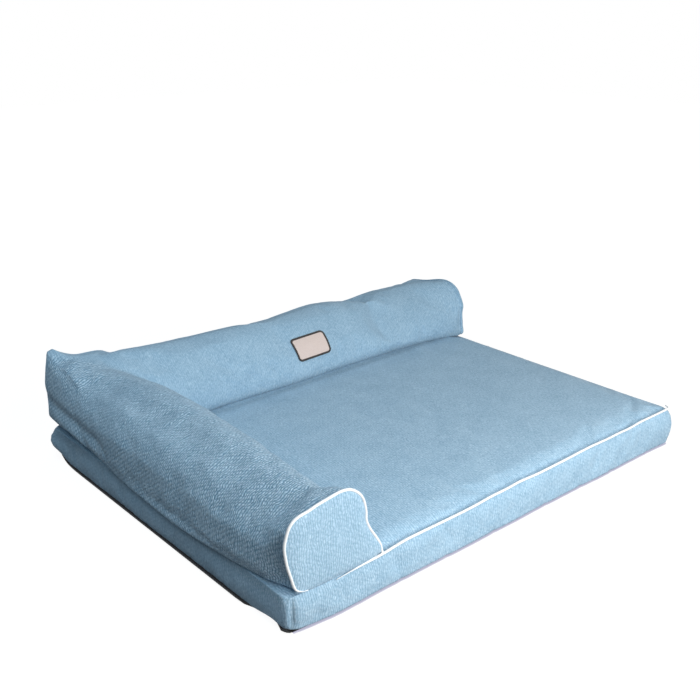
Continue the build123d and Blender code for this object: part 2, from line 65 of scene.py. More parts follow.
# %% Sizes of the bed
LEFT, RIGHT = -0.457, 0.457
FRONT, BACK = -0.3555, 0.3555
SEAM_MID = 0.067
SEAM_SLOPE = 0.0125
BOLSTER = 0.172
PLAN_CORNER = 0.026
SIDE_BULGE = 0.0055
LEFT_BULGE_SHARE = 0.35


def seam_z(x):
    """Height of the mattress's top seam at x."""
    return SEAM_MID + SEAM_SLOPE * x


def above_seam(at):
    """Height of each point above the mattress's top seam."""
    return at[:, 2] - seam_z(at[:, 0])


def smooth(keys, values, at):
    """Smooth curve through a few given values, held flat at both ends."""
    at = np.asarray(at, float)
    keys = np.asarray(keys, float)
    values = np.asarray(values, float)
    slopes = np.gradient(values, keys)
    i = np.clip(np.searchsorted(keys, at) - 1, 0, len(keys) - 2)
    width = keys[i + 1] - keys[i]
    t = np.clip((at - keys[i]) / width, 0, 1)
    h00 = 2 * t**3 - 3 * t**2 + 1
    h10 = t**3 - 2 * t**2 + t
    h01 = 3 * t**2 - 2 * t**3
    h11 = t**3 - t**2
    return h00 * values[i] + h10 * width * slopes[i] + h01 * values[i + 1] + h11 * width * slopes[i + 1]


# %% [markdown]
# ## The camera
#
# The camera stands in front of the bed's left corner, about 0.8 m up, and looks down at 20.5 degrees.
# It is placed by its own three axes, so that its slight roll is kept.

# %% Place the camera
CAMERA_AT = Vector((-1.0836, -1.2024, 0.8038))
CAMERA_YAW, CAMERA_PITCH, CAMERA_ROLL = 0.7163, 0.3582, 0.0034
SENSOR, FOCAL_PIXELS, PHOTO_PIXELS = 36, 950, 700
look = Vector((math.sin(CAMERA_YAW) * math.cos(CAMERA_PITCH),
               math.cos(CAMERA_YAW) * math.cos(CAMERA_PITCH), -math.sin(CAMERA_PITCH)))
level = Vector((math.cos(CAMERA_YAW), -math.sin(CAMERA_YAW), 0))
above = level.cross(look)
right = level * math.cos(CAMERA_ROLL) + above * math.sin(CAMERA_ROLL)
up = above * math.cos(CAMERA_ROLL) - level * math.sin(CAMERA_ROLL)
camera_data = bpy.data.cameras.new("studio_camera")
camera_data.sensor_width = SENSOR
camera_data.lens = SENSOR * FOCAL_PIXELS / PHOTO_PIXELS
camera = bpy.data.objects.new("studio_camera", camera_data)
scene.collection.objects.link(camera)
camera.matrix_world = Matrix((
    (right.x, up.x, -look.x, CAMERA_AT.x),
    (right.y, up.y, -look.y, CAMERA_AT.y),
    (right.z, up.z, -look.z, CAMERA_AT.z),
    (0, 0, 0, 1)))
scene.camera = camera
print("camera lens %.1f mm" % camera_data.lens)

# %% [markdown]
# ## Helpers for nodes and meshes
#
# One function turns a hex colour into linear light and one adds a node with its settings and links.
# Others make a mesh object at the origin that rides on a body, loft one through rings, join or cut two,
# and put even points on curves.

# %% Helpers


def linear(code):
    """Hex sRGB colour to linear RGBA."""
    parts = [int(code[i:i + 2], 16) / 255 for i in (1, 3, 5)]
    return tuple(c / 12.92 if c <= 0.04045 else ((c + 0.055) / 1.055) ** 2.4 for c in parts) + (1.0,)


def add(tree, kind, settings=None, **links):
    """Add one node: settings are its properties, links are its input sockets by name or number."""
    node = tree.nodes.new(kind)
    for name, value in (settings or {}).items():
        setattr(node, name, value)
    for name, value in links.items():
        socket = node.inputs[int(name[1:])] if name[0] == "_" else node.inputs[name.replace("_", " ")]
        if isinstance(value, bpy.types.NodeSocket):
            tree.links.new(value, socket)
        else:
            socket.default_value = value
    return node


def mesh_object(name, points, faces, body="bed"):
    """Mesh object at the origin, riding on a body of the frame."""
    data = bpy.data.meshes.new(name)
    data.from_pydata([tuple(p) for p in points], [], [tuple(f) for f in faces])
    data.validate()
    made = bpy.data.objects.new(name, data)
    scene.collection.objects.link(made)
    for polygon in data.polygons:
        polygon.use_smooth = True
    if body:
        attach(made, body)
    return made


def covered(made, material):
    """Give an object one finish."""
    made.data.materials.clear()
    made.data.materials.append(material)


def baked(made):
    """Put an object's evaluated mesh in place of its modifiers."""
    depsgraph = bpy.context.evaluated_depsgraph_get()
    data = bpy.data.meshes.new_from_object(made.evaluated_get(depsgraph))
    old = made.data
    made.modifiers.clear()
    made.data = data
    data.name = made.name
    if old.users == 0:
        bpy.data.meshes.remove(old)


def skin(name, rings, close_ends=True, body="bed"):
    """Mesh object through closed rings of equal point counts, with a fan that closes each end."""
    count = len(rings[0])
    last = (len(rings) - 1) * count
    points = [p for ring in rings for p in ring]
    turn = [(i, (i + 1) % count) for i in range(count)]
    faces = [(r + i, r + j, r + count + j, r + count + i) for r in range(0, last, count) for i, j in turn]
    if close_ends:
        for start, ahead in ((0, False), (last, True)):
            middle = len(points)
            points.append(tuple(np.mean(np.array(points[start:start + count]), axis=0)))
            fan = turn if ahead else [(j, i) for i, j in turn]
            faces += [(start + i, start + j, middle) for i, j in fan]
    return mesh_object(name, points, faces, body)


def edited(made, change):
    """Run one bmesh operation on an object's mesh."""
    work = bmesh.new()
    work.from_mesh(made.data)
    change(work)
    work.to_mesh(made.data)
    work.free()
    return made


def outward(made):
    """Turn every face of a closed mesh outwards."""
    return edited(made, lambda work: bmesh.ops.recalc_face_normals(work, faces=work.faces))


def welded(made, reach):
    """Join the points where a ring closes on itself, then turn its faces outwards."""
    return outward(edited(made, lambda work: bmesh.ops.remove_doubles(work, verts=work.verts, dist=reach)))


def combined(made, other, name, operation):
    """Exact boolean of two closed meshes: the first keeps the result and the second goes."""
    step = made.modifiers.new(name, "BOOLEAN")
    step.operation = operation
    step.solver = "EXACT"
    step.object = other
    baked(made)
    bpy.data.objects.remove(other)


def spline(p0, p1, p2, p3, t):
    """Point at t on a smooth curve from p1 to p2, led by its neighbours."""
    return 0.5 * (2 * p1 + (p2 - p0) * t + (2 * p0 - 5 * p1 + 4 * p2 - p3) * t**2
                  + (3 * p1 - p0 - 3 * p2 + p3) * t**3)


def evenly(line, count=None, step=None, closed=True):
    """Even points along a line of dense points, by count or by step."""
    length = np.concatenate([[0], np.cumsum(np.linalg.norm(np.diff(line, axis=0), axis=1))])
    count = count or int(length[-1] / step)
    if not closed:
        count = max(count, 2) + 1
    even = np.linspace(0, length[-1], count, endpoint=not closed)
    return np.stack([np.interp(even, length, axis) for axis in line.T], axis=1)


def rounded_box(half, corner, steps):
    """Rounded rectangle about the origin, as a closed line."""
    line = []
    for sx, sy, start in ((1, -1, -90), (1, 1, 0), (-1, 1, 90), (-1, -1, 180)):
        for k in range(steps + 1):
            angle = math.radians(start + 90 * k / steps)
            line.append((sx * (half[0] - corner) + corner * math.cos(angle),
                         sy * (half[1] - corner) + corner * math.sin(angle)))
    return np.array(line + [line[0]])


print("helpers ready")

# %% [markdown]
# ## Stuffing a shape
#
# A cover is sewn a little smaller than its stuffing, so it swells and pulls taut. Cloth simulation does
# that: the closed shape is remeshed to even small faces, drawn in a little, and then pressure blows it
# up for a few frames, while a cap keeps every point near the pattern. Seams and lumps come afterwards,
# because the remesh would erase them, and one subdivision rounds what is left of the facets.

# %% The stuffing helper


def lumps(at, size, seed):
    """Soft random field between about -1 and 1: a few waves in fixed random directions."""
    rng = np.random.default_rng(seed)
    field = np.zeros(len(at))
    for _ in range(9):
        direction = rng.normal(size=3)
        direction /= np.linalg.norm(direction)
        field += np.sin(at @ direction * 2 * np.pi / (size * rng.uniform(0.7, 1.5)) + rng.uniform(0, 6.28))
    return field / 3.0


def near(distance, width):
    """Soft bump: 1 on a line, fading out over a width."""
    return np.exp(-(np.asarray(distance) / width) ** 2)


def ramp(value, low, high):
    """Smooth step from 0 at low to 1 at high."""
    t = np.clip((np.asarray(value) - low) / (high - low), 0, 1)
    return t * t * (3 - 2 * t)


def upright(at, x, y, width):
    """Soft bump round an upright line through a place on the plan."""
    return near(np.hypot(at[:, 0] - x, at[:, 1] - y), width)


def vectors(elements, name):
    """One vector per element of a mesh, as an array."""
    found = np.empty(len(elements) * 3)
    elements.foreach_get(name, found)
    return found.reshape(-1, 3)


def coordinates(made):
    return vectors(made.data.vertices, "co")


def surface(made):
    """Places and normals of a mesh's points."""
    return coordinates(made), vectors(made.data.vertex_normals, "vector")


def move_points(made, at):
    """Write points back to a mesh."""
    made.data.vertices.foreach_set("co", np.ascontiguousarray(at).ravel())
    made.data.update()


STUFFING_FRAMES = 14
COVER_CLOTH = {"use_pressure": True, "quality": 4, "tension_stiffness": 18, "compression_stiffness": 18,
               "bending_stiffness": 0.8, "vertex_group_mass": "sewn"}


def stuffed(made, voxel, pressure, cap, draw_in, slack, hold):
    """Remesh evenly, draw in, then blow up with cloth pressure, at most cap away from the start."""
    outward(made)
    remesh = made.modifiers.new("even_faces", "REMESH")
    remesh.mode = "VOXEL"
    remesh.voxel_size = voxel
    remesh.use_smooth_shade = True
    baked(made)
    at, out = surface(made)
    weights = hold(at)
    move_points(made, at - out * (draw_in * (1 - weights))[:, None])
    start = coordinates(made)
    group = made.vertex_groups.new(name="sewn")
    for i in np.nonzero(weights > 0.01)[0]:
        group.add([int(i)], float(weights[i]), "REPLACE")
    cloth = made.modifiers.new("stuffing", "CLOTH")
    for name, value in COVER_CLOTH.items():
        setattr(cloth.settings, name, value)
    cloth.settings.uniform_pressure_force = pressure
    cloth.settings.shrink_min = -slack
    cloth.settings.effector_weights.gravity = 0
    cloth.collision_settings.use_collision = False
    for number in range(1, STUFFING_FRAMES + 1):
        scene.frame_set(number)
    simulated = made.evaluated_get(bpy.context.evaluated_depsgraph_get()).data
    swell = vectors(simulated.vertices, "co") - start
    made.modifiers.clear()
    made.vertex_groups.clear()
    scene.frame_set(1)
    reach = np.linalg.norm(swell, axis=1, keepdims=True)
    move_points(made, start + swell * np.minimum(1, cap / np.maximum(reach, 1e-9)))
    print(made.name, "points", len(start), "mean swell %.1f mm" % (float(reach.mean()) / MM))


def rounded(made):
    """One Catmull-Clark subdivision, applied."""
    smoother = made.modifiers.new("rounding", "SUBSURF")
    smoother.levels = smoother.render_levels = 1
    baked(made)


print("stuffing helper ready")

# %% [markdown]
# ## The mattress
#
# The mattress is a foam slab in a boxed cover: flat below, with sides that stand out a little between
# their seams and a top that is crowned where the dog lies. It is lofted through rounded rectangles from
# the floor to the top, remeshed, and blown up a little so that the cloth pulls over the foam.

# %% Loft the mattress
CORNER_TIGHT = {(RIGHT, FRONT): 0.35, (LEFT, FRONT): 0.62}
PLAN_CORNERS = ((RIGHT, FRONT, -90), (RIGHT, BACK, 0), (LEFT, BACK, 90), (LEFT, FRONT, 180))
SIDE_STEPS = 40
BOTTOM_GAP = 0.0003
BOTTOM_DRAWS = (0.30, 0.16, 0.06, 0.02)
SIDE_SHARES = (0.0, 0.06, 0.16, 0.3, 0.5, 0.7, 0.84, 0.94, 1.0)
TOP_DRAWS = (0.006, 0.014, 0.026, 0.05, 0.09, 0.16, 0.24, 0.31)


def rounded_plan(grow, corner):
    """Closed plan outline of the mattress, moved out by grow, with even points along its sides."""
    arcs = []
    for cx, cy, start in PLAN_CORNERS:
        tight = corner * CORNER_TIGHT.get((cx, cy), 1.0)
        x, y = cx - math.copysign(tight, cx), cy - math.copysign(tight, cy)
        reach = tight + grow
        angles = [math.radians(start + 15 * k) for k in range(7)]
        arcs.append(np.array([(x + reach * math.cos(a), y + reach * math.sin(a)) for a in angles]))
    outline = []
    for arc, following in zip(arcs, arcs[1:] + arcs[:1]):
        side = following[0] - arc[-1]
        outline += [*arc, *(arc[-1] + side * i / SIDE_STEPS for i in range(1, SIDE_STEPS))]
    return np.array(outline)


def bottom_gap(x):
    """Height of the boxing's lower edge: higher on the left, where the bottom cloth turns up."""
    return BOTTOM_GAP + 0.0012 * float(ramp(LEFT + 0.03 - x, 0.0, 0.03))


def crown(x, y):
    """Height of the sleeping area: a quick roll at the seam, then a slow crown."""
    inside = max(min(x - (LEFT + BOLSTER), RIGHT - x, y - FRONT, BACK - BOLSTER - y), 0.0)
    slow = math.sin(min(inside / 0.12, 1.0) * math.pi / 2)
    quick = 1 - math.exp(-inside / 0.009)
    return seam_z(x) + 0.0050 * slow + 0.0030 * quick


def flat_ring(draw, height):
    """Ring drawn in from the plan outline; height gives its z at each place."""
    return [(x, y, height(x, y)) for x, y in rounded_plan(-draw, max(PLAN_CORNER, draw + 0.005))]


def side_ring(share):
    """Ring of the boxing at a share of its height: it stands out, and most so at two of the corners."""
    swell = 4 * share * (1 - share)
    tuck = 0.0015 * max(0.0, 1 - share / 0.06) + 0.0025 * max(0.0, 1 - (1 - share) / 0.06)
    ring = []
    for x, y in rounded_plan(SIDE_BULGE * swell - tuck, PLAN_CORNER):
        front_right = (0.008 * swell + 0.002) * near(math.hypot(x - RIGHT, y - FRONT), 0.06)
        back_left = 0.010 * swell * near(math.hypot(x - LEFT, y - BACK), 0.05)
        push = 0.7 * float(front_right - back_left)
        low = bottom_gap(x)
        x_out = max(x, LEFT - LEFT_BULGE_SHARE * SIDE_BULGE * swell)
        ring.append((x_out + push, y - push, low + (seam_z(x) - low) * share))
    return ring


def edge_distance(at):
    """Distance of each point from the mattress's plan outline, inwards."""
    across = np.minimum(at[:, 0] - LEFT, RIGHT - at[:, 0])
    along = np.minimum(at[:, 1] - FRONT, BACK - at[:, 1])
    return np.minimum(across, along)


def sewn_edges(at):
    """Weights that hold the seams of the mattress."""
    seam = np.abs(above_seam(at))
    floor = np.clip(1 - at[:, 2] / 0.006, 0, 1)
    edge = np.clip(1 - seam / 0.006, 0, 1) * np.clip(1 - np.maximum(edge_distance(at), 0) / 0.008, 0, 1)
    return np.maximum(floor, edge)


rings = [flat_ring(draw, lambda x, y: bottom_gap(x)) for draw in BOTTOM_DRAWS]
rings += [side_ring(share) for share in SIDE_SHARES]
rings += [flat_ring(draw, crown) for draw in TOP_DRAWS]
mattress = skin("mattress_cushion", rings)
stuffed(mattress, voxel=0.006, pressure=1.6, cap=0.006, draw_in=0.003, slack=0.006, hold=sewn_edges)

# %% [markdown]
# The seams come next. The boxing is sewn to the top along one seam and to the bottom cloth along
# another, and a short upright seam closes it at each corner. Gathers stand beside the upright ones. The
# cover is cut a little short on the left, so its bottom edge lifts off the floor near both corners.

# %% Sew the mattress
LIFTS = ((LEFT, FRONT + 0.034, 0.007), (LEFT, BACK, 0.006))
CORNER_SEAMS = ((LEFT, FRONT, -0.30), (LEFT, BACK, 0.0), (RIGHT, BACK, 0.0), (RIGHT, FRONT, 0.25))


def tuck_corner(at):
    """Draw the low part of the back left corner in, where the bottom's seam is short."""
    share = upright(at, LEFT, BACK, 0.045) * (1 - ramp(at[:, 2], 0.0, 0.034))
    return at + share[:, None] * np.array((0.009, -0.009, 0.0))


def lifted(at, share):
    """Lift the cover off the floor near the two left corners."""
    for cx, cy, lift in LIFTS:
        at[:, 2] += lift * upright(at, cx, cy, 0.034) * share
    return at


def corner_distance(at, cx, cy, lean):
    """Distance round a plan corner of the mattress from its upright seam."""
    middle = np.array([cx - math.copysign(PLAN_CORNER, cx), cy - math.copysign(PLAN_CORNER, cy)])
    turn = math.atan2(math.copysign(1, cy), math.copysign(1, cx)) - lean * math.copysign(1, cx * cy)
    turned = np.arctan2(at[:, 1] - middle[1], at[:, 0] - middle[0])
    return np.abs((turned - turn + math.pi) % (2 * math.pi) - math.pi) * PLAN_CORNER


def sew_mattress(made):
    at, out = surface(made)
    beside = np.maximum(edge_distance(at), 0)
    side = ramp(-edge_distance(at), -0.004, 0.0)
    depth = -0.0016 * near(above_seam(at), 0.0025) * near(beside, 0.012)
    depth -= 0.0010 * near(at[:, 2] - 0.006, 0.002)
    depth -= 0.0026 * near(at[:, 1] - FRONT - 0.005, 0.003) * ramp(out[:, 2], 0.3, 0.8)
    depth += 0.0007 * lumps(at, 0.10, 21) * side
    for cx, cy, lean in CORNER_SEAMS:
        apart = corner_distance(at, cx, cy, lean)
        local = upright(at, cx, cy, 0.045) * side
        local *= 0.4 if (cx, cy) == (RIGHT, FRONT) else 1.0
        gathers = np.sin(at[:, 2] / 0.0115 * 2 * math.pi + 9 * apart / 0.02)
        depth += local * (-0.0034 * near(apart, 0.0032) + 0.0014 * near(apart - 0.007, 0.006) * gathers)
    at = at + out * depth[:, None]
    foot = ramp(0.010 - at[:, 2], 0, 0.007) * near(np.maximum(edge_distance(at), 0), 0.006)
    at[:, 2] += (0.0004 - at[:, 2]) * foot
    at[:, :2] += out[:, :2] * (0.0024 * foot * ramp(at[:, 0] - LEFT, 0.0, 0.02))[:, None]
    in_front = ramp(-out[:, 1], 0.3, 0.8) * ramp(at[:, 0] - LEFT, 0.02, 0.09)
    at[:, 1] -= 0.0045 * in_front * (1 - ramp(at[:, 2], 0.0, 0.034))
    low = 1 - ramp(at[:, 2], 0.004, 0.04)
    move_points(made, tuck_corner(lifted(at, low)))


sew_mattress(mattress)
rounded(mattress)
print("mattress points", len(mattress.data.vertices))

# %% [markdown]
# ## The bolsters
#
# The arm and the back are stuffed tubes that meet at the back left corner, where the cover stands up as
# a square ear. Each cross-section is a smooth closed curve through fourteen points. A few smooth curves
# along s change its height, its width and its ridge. They also say how far the arm's lower edge hangs
# down over the mattress and how far that lip stands out. Towards its front end the arm takes the outline
# of its end panel. The back's front face slopes like a chair's and tucks in at its foot.

# %% Cross-sections of the bolsters


def closed_curve(points, count):
    """Even points on a smooth closed curve through some points."""
    p = np.array(points)
    n = len(p)
    dense = [spline(p[i - 1], p[i], p[(i + 1) % n], p[(i + 2) % n], t)
             for i in range(n) for t in np.linspace(0, 1, 12, endpoint=False)]
    return evenly(np.array(dense + [dense[0]]), count)


def section(width, height, edge, lip, ridge, waist, outer, bulge, tuck, slope):
    """Fourteen points in metres: ridge, waist and tuck are shares of the width, outer of the height."""
    w, h = width, height
    steep = np.array([(0.5 * (ridge + waist) * w + 0.055 * w, 0.885 * h), (waist * w + 0.004, 0.62 * h),
                      (waist * w + 0.004, 0.44 * h), ((0.5 * (waist + 1) + 0.3 * tuck) * w, 0.19 * h)])
    gentle = np.array([(0.64, 0.83), (0.81, 0.61), (0.945, 0.40), (1.005, 0.20)]) * (w, h)
    inner = steep * (1 - slope) + gentle * slope
    return np.array([
        (0.50 * w, -0.004), (0.10 * w, min(0.0, 0.8 * edge) - 0.002), (0.004 - 0.5 * lip, edge),
        (-lip, edge + 0.011), (-0.45 * lip - 0.3 * bulge, edge + 0.034), (-bulge, 0.56 * h),
        (0.04 * w, outer * h), (0.5 * ridge * w + 0.02 * w, (0.45 + 0.55 * outer) * h), (ridge * w, h),
        *inner, ((0.985 - tuck) * w, -0.001)])


ARM_END = np.array([(86, -4), (24, -1), (16, 9), (9, 26), (5, 42), (-1, 76), (6, 103), (39, 118.5),
                    (94, 127), (126, 113), (138.5, 84), (140, 64), (157, 33), (170.5, 1)]) * MM
ARM = {
    "s":      [-0.004, 0.050, 0.100, 0.160, 0.250, 0.330, 0.450, 0.550, 0.620, 0.670, 0.711],
    "width":  [0.172, 0.172, 0.171, 0.169, 0.169, 0.168, 0.166, 0.164, 0.162, 0.162, 0.171],
    "height": [0.153, 0.138, 0.127, 0.127, 0.129, 0.127, 0.123, 0.119, 0.117, 0.118, 0.127],
    "edge":   [0.014, 0.013, 0.010, 0.006, -0.001, -0.006, -0.010, -0.004, 0.001, 0.006, 0.009],
    "lip":    [0.007, 0.008, 0.009, 0.009, 0.010, 0.010, 0.010, 0.009, 0.006, 0.002, 0.0],
    "ridge":  [0.14, 0.24, 0.34, 0.44, 0.52, 0.56, 0.56, 0.54, 0.52, 0.52, 0.56],
    "waist":  [0.90, 0.90, 0.89, 0.88, 0.86, 0.84, 0.81, 0.77, 0.75, 0.75, 0.81],
    "outer":  [0.95, 0.91, 0.84, 0.78, 0.74, 0.73, 0.73, 0.75, 0.79, 0.82, 0.84],
    "bulge":  [0.004, 0.004, 0.003, 0.002, 0.002, 0.002, 0.002, 0.003, 0.003, 0.002, 0.001],
    "tuck":   [0.02] * 9 + [0.01, 0.0],
    "slope":  [0.0] * 11,
}
BACK_RUN = {
    "s":      [-0.004, 0.050, 0.100, 0.160, 0.227, 0.298, 0.372, 0.451, 0.533, 0.620, 0.665, 0.705, 0.760,
               0.830, 0.885, 0.914],
    "width":  [0.172, 0.172, 0.171, 0.167, 0.164, 0.160, 0.162, 0.164, 0.163, 0.162, 0.163, 0.164, 0.167,
               0.173, 0.181, 0.187],
    "height": [0.147, 0.130, 0.130, 0.130, 0.124, 0.120, 0.117, 0.113, 0.115, 0.1155, 0.1095, 0.1055,
               0.109, 0.113, 0.118, 0.1235],
    "edge":   [0.012, 0.013, 0.008, 0.003, 0.000, -0.002] + [-0.003] * 7 + [-0.002, 0.0, 0.0],
    "lip":    [0.007] * 2 + [0.006] * 11 + [0.005, 0.002, 0.0],
    "ridge":  [0.10, 0.21, 0.30, 0.38, 0.42, 0.44] + [0.45] * 3 + [0.46, 0.47, 0.48, 0.49, 0.51, 0.59, 0.66],
    "waist":  [0.90] * 3 + [0.91, 0.92, 0.93] + [0.94] * 6 + [0.93, 0.93, 0.94, 0.95],
    "outer":  [0.95, 0.92, 0.88] + [0.86] * 3 + [0.87] * 6 + [0.86, 0.84, 0.82, 0.80],
    "bulge":  [0.001, 0.004] + [0.005] * 11 + [0.004, 0.002, 0.001],
    "tuck":   [0.05, 0.05, 0.06, 0.08] + [0.09] * 9 + [0.08, 0.05, 0.03],
    "slope":  [0.0, 0.2, 0.4, 0.7, 0.9] + [1.0] * 7 + [0.9, 0.6, 0.25, 0.0],
}
BACK_END_SHARE = 0.955


def run_section(run, s, count=96):
    """Even cross-section of a bolster at s."""
    points = section(**{name: float(smooth(run["s"], run[name], s)) for name in run if name != "s"})
    if run is ARM:
        share = float(ramp(s, 0.655, 0.708))
        points = points * (1 - share) + ARM_END * share
    return closed_curve(points, count)


def arm_point(u, z, s):
    x = LEFT + u
    return (x, BACK - s, seam_z(x) + z)


def back_point(u, z, s):
    x = LEFT + s
    return (x, BACK - u, seam_z(x) + z)


def quarter(share):
    """Rises from 0 to 1 like a quarter of a circle."""
    return math.sqrt(1 - (1 - min(share, 1.0)) ** 2)


def make_run(name, run, place, stations, far_share):
    """Skin of one run; both ends are rounded off, the far one down to a share of its size."""
    rings = []
    for s in stations:
        outline = run_section(run, s)
        middle = outline.mean(axis=0)
        scale = 0.94 + 0.06 * quarter((s - stations[0]) / 0.015)
        scale *= far_share + (1 - far_share) * quarter((stations[-1] - s) / 0.012)
        rings.append([place(u, z, s) for u, z in middle + (outline - middle) * scale])
    return outward(skin(name, rings, body=None))


bolster = make_run("bolster_cushion", ARM, arm_point, np.linspace(-0.006, 0.7095, 96), 1.0)
back_run = make_run("back_run", BACK_RUN, back_point, np.linspace(0.012, 0.9125, 110), BACK_END_SHARE)
print("cross-sections ready")

# %% [markdown]
# The two runs cross at the corner. A union joins them into one closed L, the remesh evens its faces, and
# the cloth is held where it is sewn: along the foot and at the two ends. A cover with a little too much
# cloth buckles beside those seams, which is what makes the small puckers of a sewn bolster.

# %% Join and stuff the bolsters
combined(bolster, back_run, "join", "UNION")
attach(bolster, "bed")


def sewn_feet(at):
    """Weights that hold the bolsters' feet and ends."""
    foot = np.clip(1 - above_seam(at) / 0.010, 0, 1)
    ends = [np.clip(1 - inside / 0.008, 0, 1) for inside in (at[:, 1] - FRONT, RIGHT - at[:, 0])]
    return np.maximum(foot, np.maximum(*ends))


stuffed(bolster, voxel=0.005, pressure=2.0, cap=0.006, draw_in=0.0045, slack=0.010, hold=sewn_feet)

# %% [markdown]
# Fibre fill leaves soft dents on the arm, where it is leaned on, and long slow waves on the back. At
# the corner a lower bulge tapers away under a soft crease, and a shallow valley runs in to the inner
# corner. The cloth gathers in front of the arm's end panel, because its edge is eased onto the seam.

# %% Shape the bolsters


# Each dent in the arm's outer side: distance from the back, height, width and depth.
DENTS = ((0.45, 0.058, 0.028, 0.0060), (0.63, 0.088, 0.028, 0.0065), (0.16, 0.118, 0.026, 0.0045),
         (0.56, 0.070, 0.020, 0.0025), (0.31, 0.085, 0.024, 0.0025))
# The crease on the arm's outer side: distance from the back and height.
CREASE_LINE = ((0.0, 0.066), (0.03, 0.058), (0.07, 0.054), (0.11, 0.050), (0.15, 0.043), (0.20, 0.040),
               (0.235, 0.026), (0.265, 0.010))
# How high the corner may stand: distance from the left and height.
CORNER_LIMIT = ((0.0, 0.152), (0.012, 0.146), (0.030, 0.137), (0.060, 0.133), (0.100, 0.132), (0.160, 0.134))


def on_bolster(at):
    """Height above the seam, and distances from the bed's left and back, of each point."""
    return above_seam(at), at[:, 0] - LEFT, BACK - at[:, 1]


def crease_height(u_back):
    return smooth(*np.array(CREASE_LINE).T, u_back)


def settle(made):
    at, out = surface(made)
    height, u_arm, u_back = on_bolster(at)
    to_front, to_right = at[:, 1] - FRONT, RIGHT - at[:, 0]
    on_arm = ramp(u_back - u_arm, -0.02, 0.03)
    free = ramp(height, 0.0, 0.035)

    def gathers(across, middle, to_end, pitch, reach, seed):
        """Small folds round the cross-section that fade away from an end seam."""
        turn = np.arctan2(height - middle, across - 0.085) * 0.075
        folds = np.sin(turn / pitch * 2 * math.pi + 2.2 * lumps(at, 0.05, seed))
        return free * folds * np.exp(-np.maximum(to_end - 0.003, 0) / reach) * ramp(to_end, 0.002, 0.008)

    away = ramp(to_front, 0.0, 0.03) * ramp(to_right, 0.0, 0.03)
    top = ramp(out[:, 2], 0.1, 0.7)
    depth = 0.0011 * lumps(at, 0.13, 4) * free * away
    depth += on_arm * top * away * (0.0008 * lumps(at, 0.06, 9) + 0.0004 * lumps(at, 0.028, 12))
    outer_face = ramp(-out[:, 0], 0.3, 0.8) * near(np.maximum(u_arm, 0), 0.03)
    crease = crease_height(u_back)
    fading = (0.45 + 0.55 * ramp(u_back, 0.0, 0.05)) * (1 - ramp(u_back, 0.20, 0.27))
    depth -= 0.0042 * near(height - crease, 0.009) * outer_face * fading
    depth += 0.0020 * near(height - crease + 0.020, 0.013) * outer_face * (1 - ramp(u_back, 0.10, 0.22))
    for along, high, wide, deep in DENTS:
        apart = np.hypot(u_back - along, height - high)
        depth -= deep * near(apart, wide) * ramp(-out[:, 0], -0.2, 0.3) * (u_arm < 0.09)
    depth -= 0.0035 * near(u_arm - u_back, 0.016) * ramp(u_arm, 0.05, 0.15) * free
    depth += 0.0011 * on_arm * gathers(u_arm, 0.055, to_front, 0.0115, 0.013, 31)
    depth += 0.0008 * (1 - on_arm) * gathers(u_back, 0.05, to_right, 0.013, 0.012, 33)
    depth -= 0.0012 * (near(to_front - 0.001, 0.003) + near(to_right - 0.001, 0.003)) * free
    at = at + out * depth[:, None]
    limit = smooth(*np.array(CORNER_LIMIT).T, u_arm)
    limit -= 0.014 * (1 - ramp(u_back, 0.0, 0.045)) * ramp(u_arm, 0.02, 0.07)
    over = np.maximum(above_seam(at) - limit, 0) * (1 - ramp(u_back, 0.09, 0.15))
    over *= 1 - ramp(u_arm, 0.14, 0.17)
    ear = near(np.hypot(u_arm - 0.010, u_back - 0.010), 0.016) * ramp(height, 0.10, 0.14)
    at[:, 2] += 0.005 * ear - 0.9 * over
    move_points(made, at)


settle(bolster)
rounded(bolster)
print("bolster points", len(bolster.data.vertices))

# %% [markdown]
# ## The end panels
#
# Each bolster is closed by a flat piece of cloth cut to its cross-section, which the filling pushes out
# into a shallow pillow. It is built from shrinking copies of the outline.

# %% Make the end panels


# Rings of the pillow: size and how far each stands out, as shares.
PILLOW = ((0.90, -0.45), (0.99, -0.42), (1.0, -0.1), (0.997, 0.12), (0.975, 0.42), (0.93, 0.66), (0.86, 0.82),
          (0.74, 0.93), (0.58, 0.99), (0.38, 1.0), (0.18, 1.0))


def panel(name, run, place, s, crown_out, size_share):
    """Pillowed end panel with a small seam allowance behind it."""
    outline = run_section(run, s, 160)
    middle = outline.mean(axis=0)
    rings = [[place(u, z, s + out * crown_out) for u, z in middle + (outline - middle) * (scale * size_share)]
             for scale, out in PILLOW]
    return outward(skin(name, rings))


arm_panel = panel("arm_end_cushion", ARM, arm_point, BACK - FRONT, crown_out=0.0055, size_share=1.0)
back_panel = panel("back_end_cushion", BACK_RUN, back_point, RIGHT - LEFT, crown_out=0.0070,
                   size_share=BACK_END_SHARE - 0.004)
for made, seed in ((arm_panel, 3), (back_panel, 5)):
    at, out = surface(made)
    move_points(made, at + out * (0.0006 * lumps(at, 0.06, seed))[:, None])
print("end panels ready")

# %% [markdown]
# ## Piping
#
# White piping is a strip of cotton folded over a cord and caught in a seam, so it stands proud as a
# thin round bead. It is swept along a smooth path. One length runs round the arm's end panel and one
# along the front edge, where it dives under the panel and thins out as the seam takes it in.

# %% Sweep the piping


def even_path(points, step):
    """Even points on a smooth open curve through some points."""
    p = np.array(points, float)
    p = np.vstack([2 * p[0] - p[1], p, 2 * p[-1] - p[-2]])
    dense = [spline(*p[i - 1:i + 3], t) for i in range(1, len(p) - 2)
             for t in np.linspace(0, 1, 16, endpoint=False)]
    return evenly(np.array(dense + [p[-2]]), step=step, closed=False)


